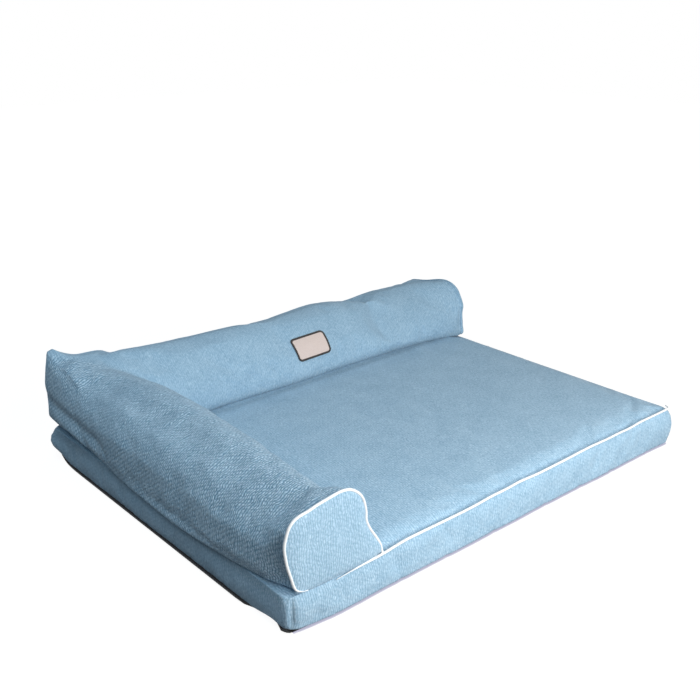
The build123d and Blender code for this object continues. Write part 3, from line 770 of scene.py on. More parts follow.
def tube(path, radii, sides=10, wrap=False):
    """Rings of a round sweep, with a frame carried along the path without twist."""
    path = np.asarray(path)
    radii = np.broadcast_to(radii, len(path))
    ahead = np.roll(path, -1, axis=0) - np.roll(path, 1, axis=0) if wrap else np.gradient(path, axis=0)
    ahead /= np.linalg.norm(ahead, axis=1, keepdims=True)
    side = np.cross(ahead[0], (0.13, 0.21, 0.97))
    rings = []
    for point, direction, radius in zip(path, ahead, radii):
        side = side - direction * (side @ direction)
        side /= np.linalg.norm(side)
        other = np.cross(direction, side)
        turns = np.arange(sides) * 2 * np.pi / sides
        rings.append([tuple(point + radius * (math.cos(a) * side + math.sin(a) * other)) for a in turns])
    return rings


PIPING = 2.1 * MM
# Both lines are in millimetres: from the bed's left, and up from the floor.
PANEL_LINE = [(34, 63.5), (24, 65.5), (15, 71.5), (8, 93), (2, 115), (-1, 139), (2, 154), (7, 166),
              (15, 174), (25, 177.5), (39, 179.5), (54, 183), (71, 185.5), (85, 187.5), (97, 188),
              (111, 185), (125, 175), (133, 164), (137.5, 151), (139.5, 140), (140, 127), (147, 111),
              (158, 94), (167, 78), (170, 67), (172, 60.5)]
FRONT_LINE = [(86, 55.0), (100, 56.5), (127, 58.0), (150, 59.6), (176, 61.6), (216, 64.5), (256, 65.0),
              (310, 65.2), (361, 66.3), (418, 68.2), (475, 69.0), (540, 68.6), (602, 69.4), (670, 70.6),
              (741, 70.4), (820, 71.8), (880, 72.2)]
# Where the front piping turns round the right corner, in metres.
FRONT_TURN = ((0.4475, -0.3572), (0.4555, -0.3535), (0.4592, -0.3460))

panel_path = even_path([(LEFT + x * MM, FRONT - 0.0016, z * MM) for x, z in PANEL_LINE], 0.003)
panel_path[:, 1] -= 0.0045 * (1 - ramp(panel_path[:, 2], 0.060, 0.074)) * (panel_path[:, 0] < LEFT + 0.06)
grow_in = np.clip(np.arange(len(panel_path)) / 9, 0.3, 1)
panel_piping = outward(skin("arm_end_piping_cotton", tube(panel_path, PIPING * grow_in)))

front_points = [(LEFT + x * MM, FRONT - 0.0020, z * MM) for x, z in FRONT_LINE]
front_points += [(x, y, seam_z(x) - 0.0004) for x, y in FRONT_TURN]
front_path = even_path(front_points, 0.004)
front_path[:, 2] += 0.0005 * np.sin(front_path[:, 0] / 0.019 + 2 * np.sin(front_path[:, 0] / 0.05))
front_path[:, 1] += 0.0005 * np.sin(front_path[:, 0] / 0.031 + 1.0)
count = len(front_path)
grow_in = np.clip(np.arange(count) / 14, 0.25, 1) * np.clip(np.arange(count, 0, -1) / 4, 0.5, 1)
front_piping = outward(skin("front_edge_piping_cotton", tube(front_path, PIPING * grow_in)))
print("piping lengths", len(panel_path), len(front_path))

# %% [markdown]
# ## Rows of threads with Geometry Nodes
#
# Stitches, the satin border of the patch and the turns of the zipper coil are all the same thing: one
# short rounded thread, repeated at even steps along a path and turned to follow it. One node tree makes
# them all, and its inputs are the step and the thread's three half sizes.

# %% Build the thread-row tree


def thread_tree():
    tree = bpy.data.node_groups.new("thread_row", "GeometryNodeTree")
    face = tree.interface
    face.new_socket("Geometry", in_out="INPUT", socket_type="NodeSocketGeometry")
    for name in ("Step", "Across", "Along", "Rise", "Slant"):
        face.new_socket(name, in_out="INPUT", socket_type="NodeSocketFloat").default_value = 1 * MM
    face.new_socket("Material", in_out="INPUT", socket_type="NodeSocketMaterial")
    face.new_socket("Geometry", in_out="OUTPUT", socket_type="NodeSocketGeometry")
    given = add(tree, "NodeGroupInput")
    curve = add(tree, "GeometryNodeMeshToCurve", Mesh=given.outputs["Geometry"])
    even = add(tree, "GeometryNodeResampleCurve", {"mode": "LENGTH"}, Curve=curve.outputs[0])
    tree.links.new(given.outputs["Step"], even.inputs["Length"])
    thread = add(tree, "GeometryNodeMeshUVSphere", Segments=8, Rings=6, Radius=1.0)
    soft = add(tree, "GeometryNodeSetShadeSmooth", _0=thread.outputs[0])
    tangent = add(tree, "GeometryNodeInputTangent")
    facing = add(tree, "GeometryNodeInputNamedAttribute", {"data_type": "FLOAT_VECTOR"}, _0="outward")
    along = add(tree, "FunctionNodeAlignRotationToVector", {"axis": "Y"}, Vector=tangent.outputs[0])
    turned = add(tree, "FunctionNodeAlignRotationToVector", {"axis": "Z", "pivot_axis": "Y"},
                 Rotation=along.outputs[0], Vector=facing.outputs[0])
    slant = add(tree, "ShaderNodeCombineXYZ", Z=given.outputs["Slant"])
    tilt = add(tree, "FunctionNodeEulerToRotation", _0=slant.outputs[0])
    final = add(tree, "FunctionNodeRotateRotation", {"rotation_space": "LOCAL"}, _0=turned.outputs[0],
                _1=tilt.outputs[0])
    size = add(tree, "ShaderNodeCombineXYZ", X=given.outputs["Across"], Y=given.outputs["Along"],
               Z=given.outputs["Rise"])
    many = add(tree, "GeometryNodeInstanceOnPoints", Points=even.outputs[0], Instance=soft.outputs[0],
               Rotation=final.outputs[0], Scale=size.outputs[0])
    real = add(tree, "GeometryNodeRealizeInstances", _0=many.outputs[0])
    done = add(tree, "GeometryNodeSetMaterial", Geometry=real.outputs[0], Material=given.outputs["Material"])
    add(tree, "NodeGroupOutput", _0=done.outputs[0])
    return tree


THREADS = thread_tree()


def store(made, name, values, kind="FLOAT_VECTOR"):
    """Save one value per point as a named attribute."""
    attribute = made.data.attributes.new(name, kind, "POINT")
    values = np.ascontiguousarray(values, dtype=np.float32)
    attribute.data.foreach_set("vector" if kind == "FLOAT_VECTOR" else "value", values.ravel())


def thread_row(name, path, facing, material, step, across, along, rise, slant=0.0, wrap=False):
    """Plain mesh of threads along a path, with their backs to the side that faces out."""
    count = len(path)
    edges = [(i, (i + 1) % count) for i in range(count if wrap else count - 1)]
    data = bpy.data.meshes.new(name)
    data.from_pydata([tuple(p) for p in path], edges, [])
    made = bpy.data.objects.new(name, data)
    scene.collection.objects.link(made)
    store(made, "outward", np.tile(facing, (count, 1)))
    row = made.modifiers.new("threads", "NODES")
    row.node_group = THREADS
    given = {"Step": step, "Across": across, "Along": along, "Rise": rise, "Slant": slant,
             "Material": material}
    for item in THREADS.interface.items_tree:
        if item.in_out == "INPUT" and item.name in given:
            row[item.identifier] = given[item.name]
    baked(made)
    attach(made, "bed")
    print(name, "faces", len(made.data.polygons))
    return made


# %% [markdown]
# ## Plain finishes
#
# Cotton, cord, thread, foam, tape and metal share one recipe: a base colour with a fine grain from
# noise, which also lifts the surface a little. The grain's size is that of the real thing.

# %% Make the plain finishes


def new_material(name):
    """Material with an empty node tree."""
    material = bpy.data.materials.new(name)
    material.use_nodes = True
    material.node_tree.nodes.clear()
    return material, material.node_tree


def object_place(tree):
    return add(tree, "ShaderNodeTexCoord").outputs["Object"]


def noise(tree, place, scale, detail, rough=0.5, dimensions="3D"):
    """Noise from 0 to 1; scale is the number of its cells in a metre."""
    return add(tree, "ShaderNodeTexNoise", {"noise_dimensions": dimensions}, Vector=place, Scale=scale,
               Detail=detail, Roughness=rough).outputs["Fac"]


def mapped(tree, value, low, high, to_low=0.0, to_high=1.0):
    """Value stretched from one range to another."""
    return add(tree, "ShaderNodeMapRange", Value=value, From_Min=low, From_Max=high, To_Min=to_low,
               To_Max=to_high).outputs[0]


def shaded(tree, colour, share):
    """Colour made darker or lighter by a share."""
    return add(tree, "ShaderNodeVectorMath", {"operation": "SCALE"}, _0=colour, Scale=share).outputs[0]


def mixed(tree, share, first, second, kind="RGBA"):
    """Blend of two colours, or of two numbers where the kind is FLOAT."""
    low, out = (6, 2) if kind == "RGBA" else (2, 0)
    links = {"_0": share, "_%d" % low: first, "_%d" % (low + 1): second}
    return add(tree, "ShaderNodeMix", {"data_type": kind}, **links).outputs[out]


def lit(tree, colour, rough, strength, distance, height, metal=0.0):
    """Shader of a surface with a bump, joined to the output."""
    bump = add(tree, "ShaderNodeBump", Strength=strength, Distance=distance, Height=height)
    shader = add(tree, "ShaderNodeBsdfPrincipled", Base_Color=colour, Roughness=rough, Metallic=metal,
                 Normal=bump.outputs[0])
    add(tree, "ShaderNodeOutputMaterial", Surface=shader.outputs[0])
    return shader


def plain(name, colour, rough, metal=0.0, grain_mm=1.6, depth=0.15, tone=0.25):
    """Base finish with a fine grain in colour and bump."""
    material, tree = new_material(name)
    grain = noise(tree, object_place(tree), 1 / (grain_mm * MM), 3.0)
    shade = mapped(tree, grain, 0.0, 1.0, 1 - tone, 1 + tone)
    lit(tree, shaded(tree, linear(colour)[:3], shade), rough, depth, distance=0.3 * MM, height=grain,
        metal=metal)
    return material


piping_cotton = plain("binding_cotton_white", "#F6F9FA", 0.8, grain_mm=1.0, tone=0.06)
border_thread = plain("border_thread_charcoal", "#35312F", 0.65, grain_mm=0.8)
sewing_thread = plain("polyester_sewing_thread_blue", "#7C9CB3", 0.6, grain_mm=0.8)
coil_nylon = plain("nylon_coil_blue", "#7E9CB2", 0.4, grain_mm=2.0, tone=0.05)
print("plain finishes ready")

# %% [markdown]
# ## The patch
#
# A woven label is sewn on the back bolster's front. It is stiff, so it takes only the bolster's broad
# curve: rays find the bolster under a grid of points, and a smooth bent sheet is fitted through them. Its
# field is bare, with a thick satin-stitched border, and the bolster's cloth is pressed down beneath it.

# %% Lay the patch on the bolster
PATCH_HALF = np.array([42.0, 25.0]) * MM
PATCH_AIM = Vector((0.051, 0.2195, 0.133))
PATCH_TURN = math.radians(2)
PATCH_CORNER = 0.009
PATCH_LIFT = 0.9 * MM
PRESS_ROUND, PRESS_FADE, PRESS_GAP = 0.004, 0.006, 0.2 * MM
UP_THE_FRONT, INTO_THE_FRONT = Vector((0, 0.62, 0.78)), Vector((0, 0.78, -0.62)).normalized()
# Inset from the patch's edge and lift, in millimetres: the field's rings, then the satin's bead and stitches.
FIELD = ((1.0, -2.2), (0.6, -0.5), (1.2, 0.2), (4, 0.25), (9, 0.3), (15, 0.3), (20, 0.3), (23, 0.3))
SATIN_MIDDLE, SATIN_HALF, SATIN_STITCHES = (1.9, 0.25), (2.1, 0.75), (1.9, 0.75)


def hit_tree(made):
    """Search tree for rays against a mesh."""
    work = bmesh.new()
    work.from_mesh(made.data)
    found = BVHTree.FromBMesh(work)
    work.free()
    return found


bolster_face = hit_tree(bolster)
centre = bolster_face.ray_cast(CAMERA_AT, (PATCH_AIM - CAMERA_AT).normalized())[0]
samples = []
for dx in np.linspace(-0.036, 0.036, 7):
    for rise in np.linspace(-0.024, 0.024, 5):
        start = centre + Vector((dx, -0.12, 0.08)) + UP_THE_FRONT * rise
        hit = bolster_face.ray_cast(start, INTO_THE_FRONT)[0]
        if hit is not None:
            samples.append(tuple(hit))
samples = np.array(samples)
middle = samples.mean(axis=0)
axes = np.linalg.svd(samples - middle)[2]
patch_out = axes[2] * (1 if axes[2][1] < 0 else -1)
patch_u = np.array([1.0, 0, 0]) - patch_out * patch_out[0]
patch_u /= np.linalg.norm(patch_u)
patch_v = np.cross(patch_out, patch_u)
patch_u, patch_v = (patch_u * math.cos(PATCH_TURN) + patch_v * math.sin(PATCH_TURN),
                    patch_v * math.cos(PATCH_TURN) - patch_u * math.sin(PATCH_TURN))
centre = np.array(centre)


def bends(u, v):
    """The terms of a gently bent sheet."""
    return np.stack([np.ones_like(u), u, v, u * u, u * v, v * v], axis=-1)


local = samples - centre
BEND = np.linalg.lstsq(bends(local @ patch_u, local @ patch_v), local @ patch_out, rcond=None)[0]
print("patch leans %.0f degrees" % math.degrees(math.asin(patch_out[2])))


def patch_ring(inset, lift):
    """Ring on the patch, moved in from its edge and lifted off the bolster, both in millimetres."""
    outline = rounded_box(PATCH_HALF - inset * MM, max(PATCH_CORNER - inset * MM, 0.0015), 10)
    ring = []
    for u, v in evenly(outline, 160):
        height = bends(u, v) @ BEND + PATCH_LIFT + lift * MM
        ring.append(tuple(centre + patch_u * u + patch_v * v + patch_out * height))
    return ring


patch = outward(skin("patch_woven_field", [patch_ring(*place) for place in FIELD]))
bead = [(SATIN_MIDDLE[0] - SATIN_HALF[0] * math.cos(a), SATIN_MIDDLE[1] + SATIN_HALF[1] * math.sin(a))
        for a in np.linspace(0, 2 * np.pi, 13)]
border = welded(skin("patch_satin_base", [patch_ring(*place) for place in bead], close_ends=False), 1e-6)
thread_row("patch_satin_stitches", patch_ring(*SATIN_STITCHES), patch_out, border_thread, step=0.62 * MM,
           across=2.15 * MM, along=0.40 * MM, rise=0.42 * MM, slant=0.12, wrap=True)


def press_under_patch(made):
    """Push the bolster's cloth down where the patch lies on it."""
    at = coordinates(made)
    rel = at - centre
    u, v, h = rel @ patch_u, rel @ patch_v, rel @ patch_out
    over = h - (bends(u, v) @ BEND - PRESS_GAP)
    inside = np.abs(h) < 0.02
    for half, off in zip(PATCH_HALF, (u, v)):
        inside = inside * ramp(half + PRESS_ROUND - np.abs(off), 0, PRESS_FADE)
    move_points(made, at - patch_out * (np.maximum(over, 0) * inside)[:, None])


press_under_patch(bolster)

# %% [markdown]
# ## The bottom cloth
#
# The underside is a dark non-slip cloth. Its edge turns up a few millimetres along the left side, where
# the boxing is cut a little short, and it lifts with the cover there. In front and on the right the
# boxing comes down over it.

# %% Make the bottom cloth


# Rings from the middle out, round the edge and back in: outset, height and share of the turned-up edge.
BOTTOM_RINGS = ((-0.31, 0, 0), (-0.20, 0, 0), (-0.09, 0, 0), (-0.03, 0, 0), (-0.010, 0, 0),
                (-0.0012, 0.0002, 0), (0.0008, 0.0006, 0.25), (0.0020, 0.0008, 0.6), (0.0024, 0.001, 1.0),
                (0.0004, 0.001, 1.0), (-0.02, 0.001, 0.8), (-0.2, 0.001, 0.3))


def edge_up(x, y):
    """How far the bottom cloth comes up the side: only on the left."""
    return 0.0001 + 0.0050 * float(ramp(LEFT + 0.012 - x, 0.0, 0.012)) * shown_left(y)


def shown_left(y):
    """Where the bottom cloth shows on the left: all along, but for a stretch near the front corner."""
    return min(1.0, float(ramp(y - FRONT, 0.07, 0.12)) + float(near(y - FRONT, 0.020)))


def bottom_ring(grow, low, share):
    """Ring of the bottom cloth, kept back from the boxing in front, on the right and where it is hidden."""
    ring = []
    for x, y in rounded_plan(grow, max(PLAN_CORNER, -grow + 0.005)):
        left = LEFT - 0.004 + 0.012 * (1 - shown_left(y))
        ring.append((min(max(x, left), RIGHT - 0.008), max(y, FRONT + 0.002), low + share * edge_up(x, y)))
    return ring


bottom = outward(skin("nonslip_bottom_cloth", [bottom_ring(*place) for place in BOTTOM_RINGS]))
move_points(bottom, tuck_corner(lifted(coordinates(bottom), 1.0)))
print("bottom cloth ready")

# %% [markdown]
# ## The zipper in the back
#
# The back boxing is two strips that fold back from a zipper. A shallow pocket is cut into the mattress
# for it, a rolled hem runs round the pocket, and the tapes lie inside. The turns of each coil are a row
# of threads, and a row of stitches runs round the hem.

# %% Cut the pocket and sew the hems
ZIP_Z = 33.5 * MM
POCKET_HALF = np.array([393.0, 8.4]) * MM
POCKET_FLOOR = 353.0 * MM
TAPE_HALF = np.array([389.0, 16.0]) * MM
TAPE_FRONT = 357.0 * MM
BEHIND = 0.38
FACING_BACK = (0, 1.0, 0)


def cover_tapes(made):
    """Keeps the back cloth in front of the zipper's tapes, by a soft maximum."""
    at = coordinates(made)
    off = np.hypot(*np.maximum(np.abs(at[:, (0, 2)] - (0, ZIP_Z)) - TAPE_HALF, 0).T)
    short = TAPE_FRONT - at[:, 1]
    lift = 0.5 * (short + np.hypot(short, 0.8 * MM))
    at[:, 1] += lift * (1 - ramp(off, 0, 0.012)) * (at[:, 1] > 0.3)
    move_points(made, at)


def cut_pocket(made):
    box = [(sx * POCKET_HALF[0], y, ZIP_Z + sz * POCKET_HALF[1]) for y in (POCKET_FLOOR, BEHIND)
           for sx, sz in ((-1, -1), (1, -1), (1, 1), (-1, 1))]
    sides = [(0, 1, 2, 3), (4, 5, 6, 7), (0, 1, 5, 4), (1, 2, 6, 5), (2, 3, 7, 6), (3, 0, 4, 7)]
    combined(made, outward(mesh_object("pocket_cutter", box, sides, None)), "pocket", "DIFFERENCE")
    for polygon in made.data.polygons:
        polygon.use_smooth = True


cover_tapes(mattress)
back_face = hit_tree(mattress)


def round_pocket(grow, lift):
    """Line on the mattress's back round the pocket, moved out by grow and lifted off the cloth."""
    line = []
    for x, z in evenly(rounded_box(POCKET_HALF + grow, 0.003, 3), step=0.004):
        hit = back_face.ray_cast(Vector((x, BEHIND, ZIP_Z + z)), Vector((0, -1, 0)))[0]
        line.append((x, hit.y + lift, ZIP_Z + z))
    return np.array(line)


rings = tube(round_pocket(0.0006, -0.0006), 1.5 * MM, 8, wrap=True)
hem = welded(skin("zipper_hem", rings + [rings[0]], close_ends=False), 1e-5)
thread_row("zipper_hem_stitches", round_pocket(0.0045, 0.0002), FACING_BACK, sewing_thread, step=3.6 * MM,
           across=0.42 * MM, along=1.45 * MM, rise=0.38 * MM, wrap=True)
cut_pocket(mattress)

# %% Wind the coils
COIL_Y = 357.56 * MM
COIL_OFF = 1.42 * MM
COIL_END = 0.3757
coils = {}
for name, side, start in (("zipper_coil_upper", 1, -0.3752), ("zipper_coil_lower", -1, -0.3752 + 0.0007)):
    line = np.array([(x, COIL_Y, ZIP_Z + side * COIL_OFF) for x in np.linspace(start, COIL_END, 40)])
    coils[name] = thread_row(name + "_turns", line, FACING_BACK, coil_nylon, step=1.4 * MM, across=1.62 * MM,
                             along=0.56 * MM, rise=1.15 * MM, slant=0.22 * side)

# %% [markdown]
# ## Weave coordinates
#
# The cloth's threads run round the bolsters and along them, and straight across the mattress. Remeshing
# throws UVs away, so each point stores where it lies on the cloth as a vector attribute in metres: first
# across the heavy threads, then along them. A second set follows the other cloth direction, a third
# value turns from one to the other, and a fourth says how deep the pile stands: deepest on the arm. A
# fifth is painted shade: it darkens the colour in creases and seams, under the arm's lip and at the
# bolsters' feet, where shade falls.

# %% Store where each point lies on the cloth


def around(u, z, run, s_mid):
    """Distance round a bolster's mean cross-section, from its outer foot over the top."""
    outline = run_section(run, s_mid, 240)
    middle = outline.mean(axis=0)
    rel = outline - middle
    step = np.linalg.norm(np.diff(outline, axis=0, append=outline[:1]), axis=1)
    length = np.concatenate([[0], np.cumsum(step)[:-1]])
    table = (-np.pi / 2 - np.arctan2(rel[:, 1], rel[:, 0])) % (2 * np.pi)
    order = np.argsort(table)
    turned = (-np.pi / 2 - np.arctan2(z - middle[1], u - middle[0])) % (2 * np.pi)
    return np.interp(turned, table[order], (length[order] - length[order][0]) % length.max())


def store_cloth(made, one, two, turn, depth):
    """Place on the cloth in two directions, which of them holds, and the depth of the pile."""
    zero = np.zeros(len(turn))
    store(made, "cloth_one", np.stack([*one, zero], axis=1))
    store(made, "cloth_two", np.stack([*two, zero], axis=1))
    store(made, "cloth_turn", np.clip(turn, 0, 1), "FLOAT")
    store(made, "cloth_depth", zero + depth, "FLOAT")


def cloth_of_bolster(made):
    at, out = surface(made)
    height, u_arm, u_back = on_bolster(at)
    on_back = np.clip((u_arm - u_back) / 0.03 + 0.5, 0, 1)
    arm_round = around(u_arm, height, ARM, 0.45)
    back_round = around(u_back, height, BACK_RUN, 0.5)
    store_cloth(made, (at[:, 1], arm_round), (at[:, 0], back_round), on_back, 1.3 - 1.0 * on_back)
    # Painted shade: darker along the crease on the arm's outer side and at the inner feet of both runs, where
    # shade falls.
    painted_shade = 0.3 * near(height - crease_height(u_back), 0.006) * ramp(-out[:, 0], 0.3, 0.7)
    painted_shade *= 1 - ramp(u_back, 0.20, 0.27)
    foot = near(np.maximum(height - 0.002, 0), 0.011)
    inner = 0.8 * ramp(-out[:, 1], 0.2, 0.7) * on_back
    inner += 0.5 * ramp(out[:, 0], 0.2, 0.7) * (1 - on_back)
    painted_shade += foot * inner
    store(made, "painted_crease_shade", painted_shade, "FLOAT")


def cloth_of_flat(made):
    """Mattress, end panels and hems: the cloth follows the plane that each face lies in."""
    (x, y, z), out = (part.T for part in surface(made))
    along_x, along_y, along_z = np.abs(out)
    side = along_x / (along_x + np.maximum(along_y, along_z) + 1e-6)
    store_cloth(made, (x, y + z), (y, z + x), (side - 0.45) / 0.1, 0.44)


def painted_shade_of_mattress(made):
    """Painted shade: the colour is darkened along the corner seams, under the arm's lip and at the bolsters'
    feet.
    """
    at, out = surface(made)
    side = ramp(-edge_distance(at), -0.004, 0.0)
    painted_shade = sum(near(corner_distance(at, *corner), 0.0026) for corner in CORNER_SEAMS) * side
    under = near(np.minimum(above_seam(at) + 0.004, 0), 0.014) * ramp(-out[:, 0], 0.3, 0.8)
    feet = [near(inside - BOLSTER + 0.006, 0.012) for inside in (BACK - at[:, 1], at[:, 0] - LEFT)]
    painted_shade += 0.7 * under + 0.6 * np.maximum(*feet) * ramp(out[:, 2], 0.5, 0.9)
    store(made, "painted_crease_shade", np.clip(painted_shade, 0, 1), "FLOAT")


cloth_of_bolster(bolster)
for made in (mattress, arm_panel, back_panel, hem):
    cloth_of_flat(made)
painted_shade_of_mattress(mattress)
print("cloth coordinates stored")

# %% [markdown]
# ## The cover cloth
#
# The cover is a heavy chenille: soft plied threads, uneven in thickness, crossed by thin ones, with pale
# slubs. The real threads are about 3 mm apart, and here they are drawn 4 mm apart, because finer ones
# wouldn't show. One set of nodes draws a thread as a rounded ridge on the stored coordinates, breaks it
# up with noise stretched along the thread, and dips it where a thin thread crosses.

# %% Build the cover cloth
THREAD = 4.0 * MM
CROSS_THREAD = 7.5 * MM
SLUB = 5 * MM
# Cells of noise in a metre: fibres of 2 mm and flecks of 5 mm, drawn coarse to show, worn parts of 45 mm,
# and the threads' wander, 18 mm long.
FIBRES, FLECKS, WORN, WANDER = 480.0, 210.0, 22.0, 55.0


def calc(tree, operation, first, second=0.0, third=0.0):
    """One arithmetic node; numbers and sockets both work as its inputs."""
    return add(tree, "ShaderNodeMath", {"operation": operation}, _0=first, _1=second, _2=third).outputs[0]


def attribute(tree, name, kind="Fac"):
    return add(tree, "ShaderNodeAttribute", {"attribute_name": name}).outputs[kind]


def threads(tree, position):
    """Height from 0 to 1 of the ribbed weave on a stored position."""
    do = partial(calc, tree)
    axes = add(tree, "ShaderNodeSeparateXYZ", Vector=position)
    wander = noise(tree, position, WANDER, 2.0, dimensions="2D")
    row = do("DIVIDE", do("MULTIPLY_ADD", wander, 9 * MM, axes.outputs["X"]), THREAD)
    index = do("FLOOR", row)
    off = do("SUBTRACT", do("FRACT", row), 0.5)
    ridge = do("MULTIPLY_ADD", do("MULTIPLY", off, off), -4.0, 1.0)
    crossing = do("MULTIPLY_ADD", axes.outputs["Y"], 1 / CROSS_THREAD, do("MULTIPLY", index, 0.37))
    dip = do("ABSOLUTE", do("SINE", do("MULTIPLY", crossing, math.pi)))
    along = do("DIVIDE", axes.outputs["Y"], SLUB)
    own = add(tree, "ShaderNodeCombineXYZ", X=do("MULTIPLY", index, 3.7), Y=along)
    slub = noise(tree, own.outputs[0], 1.0, 2.0, dimensions="2D")
    body = do("MULTIPLY", ridge, do("MULTIPLY_ADD", dip, 0.45, 0.55))
    return do("MULTIPLY", body, do("MULTIPLY_ADD", slub, 1.1, 0.35))


def chenille(name, *codes):
    """Woven chenille from a dark, a middle and a light colour: matte, with a soft sheen, and darkened by
    painted shade in the stored creases.
    """
    material, tree = new_material(name)
    do = partial(calc, tree)
    one, two = (threads(tree, attribute(tree, which, "Vector")) for which in ("cloth_one", "cloth_two"))
    weave = mixed(tree, attribute(tree, "cloth_turn"), one, two, "FLOAT")
    place = object_place(tree)
    pile = attribute(tree, "cloth_depth")
    fibres = noise(tree, place, FIBRES, 3.0, 0.6)
    grain = do("MULTIPLY_ADD", fibres, 0.70, -0.97)
    grain = do("MULTIPLY_ADD", noise(tree, place, FLECKS, 2.0, 0.6), 0.84, grain)
    grain = do("MULTIPLY_ADD", noise(tree, place, WORN, 3.0, 0.55), 0.40, grain)
    ribs = do("MULTIPLY", pile, do("MULTIPLY_ADD", weave, 0.85, -0.43))
    tone = do("MULTIPLY_ADD", grain, do("MULTIPLY_ADD", pile, 0.45, 0.55), ribs)
    colour = add(tree, "ShaderNodeValToRGB", _0=mapped(tree, tone, -0.50, 0.50))
    stops = colour.color_ramp.elements
    stops.new(0.5)
    for stop, code, at in zip(stops, codes, (0.0, 0.5, 1.0)):
        stop.position = at
        stop.color = linear(code)
    # Painted shade: the stored crease shade darkens the colour by up to 40 %.
    painted_darkening = do("MULTIPLY_ADD", attribute(tree, "painted_crease_shade"), -0.40, 1.0)
    relief = do("MULTIPLY_ADD", fibres, 0.35, weave)
    strength = do("MULTIPLY", pile, 0.75)
    shader = lit(tree, shaded(tree, colour.outputs[0], painted_darkening), rough=0.93, strength=strength,
                 distance=1.3 * MM, height=relief)
    for name, value in (("Specular IOR Level", 0.2), ("Sheen Weight", 0.15), ("Sheen Roughness", 0.5)):
        shader.inputs[name].default_value = value
    return material


cover_cloth = chenille("chenille_weave_blue", "#7197B2", "#9FC2D9", "#CDE8F9")
for made in (mattress, bolster, arm_panel, back_panel, hem):
    covered(made, cover_cloth)
print("cover cloth ready")

# %% [markdown]
# ## The finishes that the frame's own pieces carry
#
# The zipper's tapes, stops, slider and pull keep their own meshes. The hidden foams and fibre get
# finishes too, for whoever opens the cover.

# %% Finish the other pieces
DOT_PITCH = 6 * MM
RUBBER_GRAIN, TAPE_GRAIN = 900.0, 1500.0


def nonslip(name):
    """Black cloth with soft rubber dots 2.4 mm wide, 6 mm apart."""
    material, tree = new_material(name)
    do = partial(calc, tree)
    place = object_place(tree)
    axes = add(tree, "ShaderNodeSeparateXYZ", Vector=place)
    shares = [do("FRACT", do("DIVIDE", axes.outputs[axis], DOT_PITCH)) for axis in ("X", "Y")]
    offs = [do("SUBTRACT", share, 0.5) for share in shares]
    apart = do("SQRT", do("ADD", *[do("MULTIPLY", off, off) for off in offs]))
    dot = mapped(tree, apart, 0.16, 0.24, 1.0, 0.0)
    height = do("MULTIPLY_ADD", noise(tree, place, RUBBER_GRAIN, 2.0), 0.2, dot)
    lit(tree, mixed(tree, dot, linear("#17181B"), linear("#26272B")), do("MULTIPLY_ADD", dot, -0.3, 0.85),
        strength=0.6, distance=0.5 * MM, height=height)
    return material


def herringbone(name, colour, pitch_mm):
    """Narrow woven tape: fine slanted ribs that turn back at each band."""
    material, tree = new_material(name)
    do = partial(calc, tree)
    place = object_place(tree)
    axes = add(tree, "ShaderNodeSeparateXYZ", Vector=place)
    along, band = (do("DIVIDE", axes.outputs[axis], pitch_mm * MM) for axis in ("X", "Z"))
    wave = do("SINE", do("MULTIPLY", do("ADD", along, do("PINGPONG", band, 2.0)), 2 * math.pi))
    shade = do("MULTIPLY_ADD", wave, 0.08, do("MULTIPLY_ADD", noise(tree, place, TAPE_GRAIN, 2.0), 0.2, 0.9))
    lit(tree, shaded(tree, linear(colour)[:3], shade), rough=0.85, strength=0.4, distance=0.2 * MM,
        height=wave)
    return material


label_weave = herringbone("woven_label_tan", "#EBD9D0", 0.8)
finishes = {
    "cover_cloth": cover_cloth,
    "piping_cloth": piping_cotton,
    "piping_cord": plain("cotton_cord", "#E8E6DF", 0.9),
    "nonslip_cloth": nonslip("nonslip_cloth_black"),
    "patch_weave": label_weave,
    "patch_thread": border_thread,
    "support_foam": plain("polyurethane_foam", "#E6E0CC", 0.95),
    "memory_foam": plain("memory_foam", "#DDE2E6", 0.95),
    "fibre_fill": plain("polyester_fibre", "#F2F2EE", 0.95),
    "zipper_tape": herringbone("polyester_tape_blue", "#7F9DB3", 1.2),
    "zipper_coil": coil_nylon,
    "zipper_metal": plain("nickel_plated_zinc", "#C4C6C8", 0.28, 1.0, grain_mm=0.6, depth=0.05, tone=0.04),
}
slot_of = {part["node"]: part["material_slot"] for part in frame["record"]["subparts"]}
for name, node in frame["nodes"].items():
    covered(node, finishes[slot_of[name]])
for made, slot in ((panel_piping, "piping_cloth"), (front_piping, "piping_cloth"), (patch, "patch_weave"),
                   (border, "patch_thread"), (bottom, "nonslip_cloth")):
    covered(made, finishes[slot])
print("finishes on", len(slot_of), "nodes")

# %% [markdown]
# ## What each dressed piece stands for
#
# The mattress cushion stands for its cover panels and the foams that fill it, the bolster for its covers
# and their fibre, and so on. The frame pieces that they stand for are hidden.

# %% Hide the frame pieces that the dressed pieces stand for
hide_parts("mattress_top_panel", "front_boxing", "right_boxing", "left_boxing", "memory_foam",
            "support_foam")
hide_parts("back_boxing_upper", "back_boxing_lower")
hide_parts("arm_cover", "back_cover", "arm_insert", "back_insert")
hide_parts("arm_end_panel")
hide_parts("back_end_panel")
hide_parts("arm_end_piping", "arm_end_piping_cord")
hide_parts("front_edge_piping", "front_edge_piping_cord")
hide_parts("patch")
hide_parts("patch_border")
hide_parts("nonslip_bottom_panel")
for name, made in coils.items():
    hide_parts(name)

# %% [markdown]
# ## Floor, backdrop and light
#
# A pale floor and plain soft light. A wide low softbox and a higher one stand in front, so the front
# faces are brightest, and two more hang over the left side and the back. The camera and shiny things see
# the floor and the backdrop white, with a thin painted contact shadow along the bed's front.

# %% Floor and backdrop
FLOOR_HALF, FLOOR_Z = 6, -0.5 * MM
SHADOW_REACH = 5 * MM


def seen_directly(tree):
    """1 for the camera and for mirrors, 0 for the light that falls on things."""
    path = add(tree, "ShaderNodeLightPath")
    return calc(tree, "MAXIMUM", path.outputs["Is Camera Ray"], path.outputs["Is Glossy Ray"])


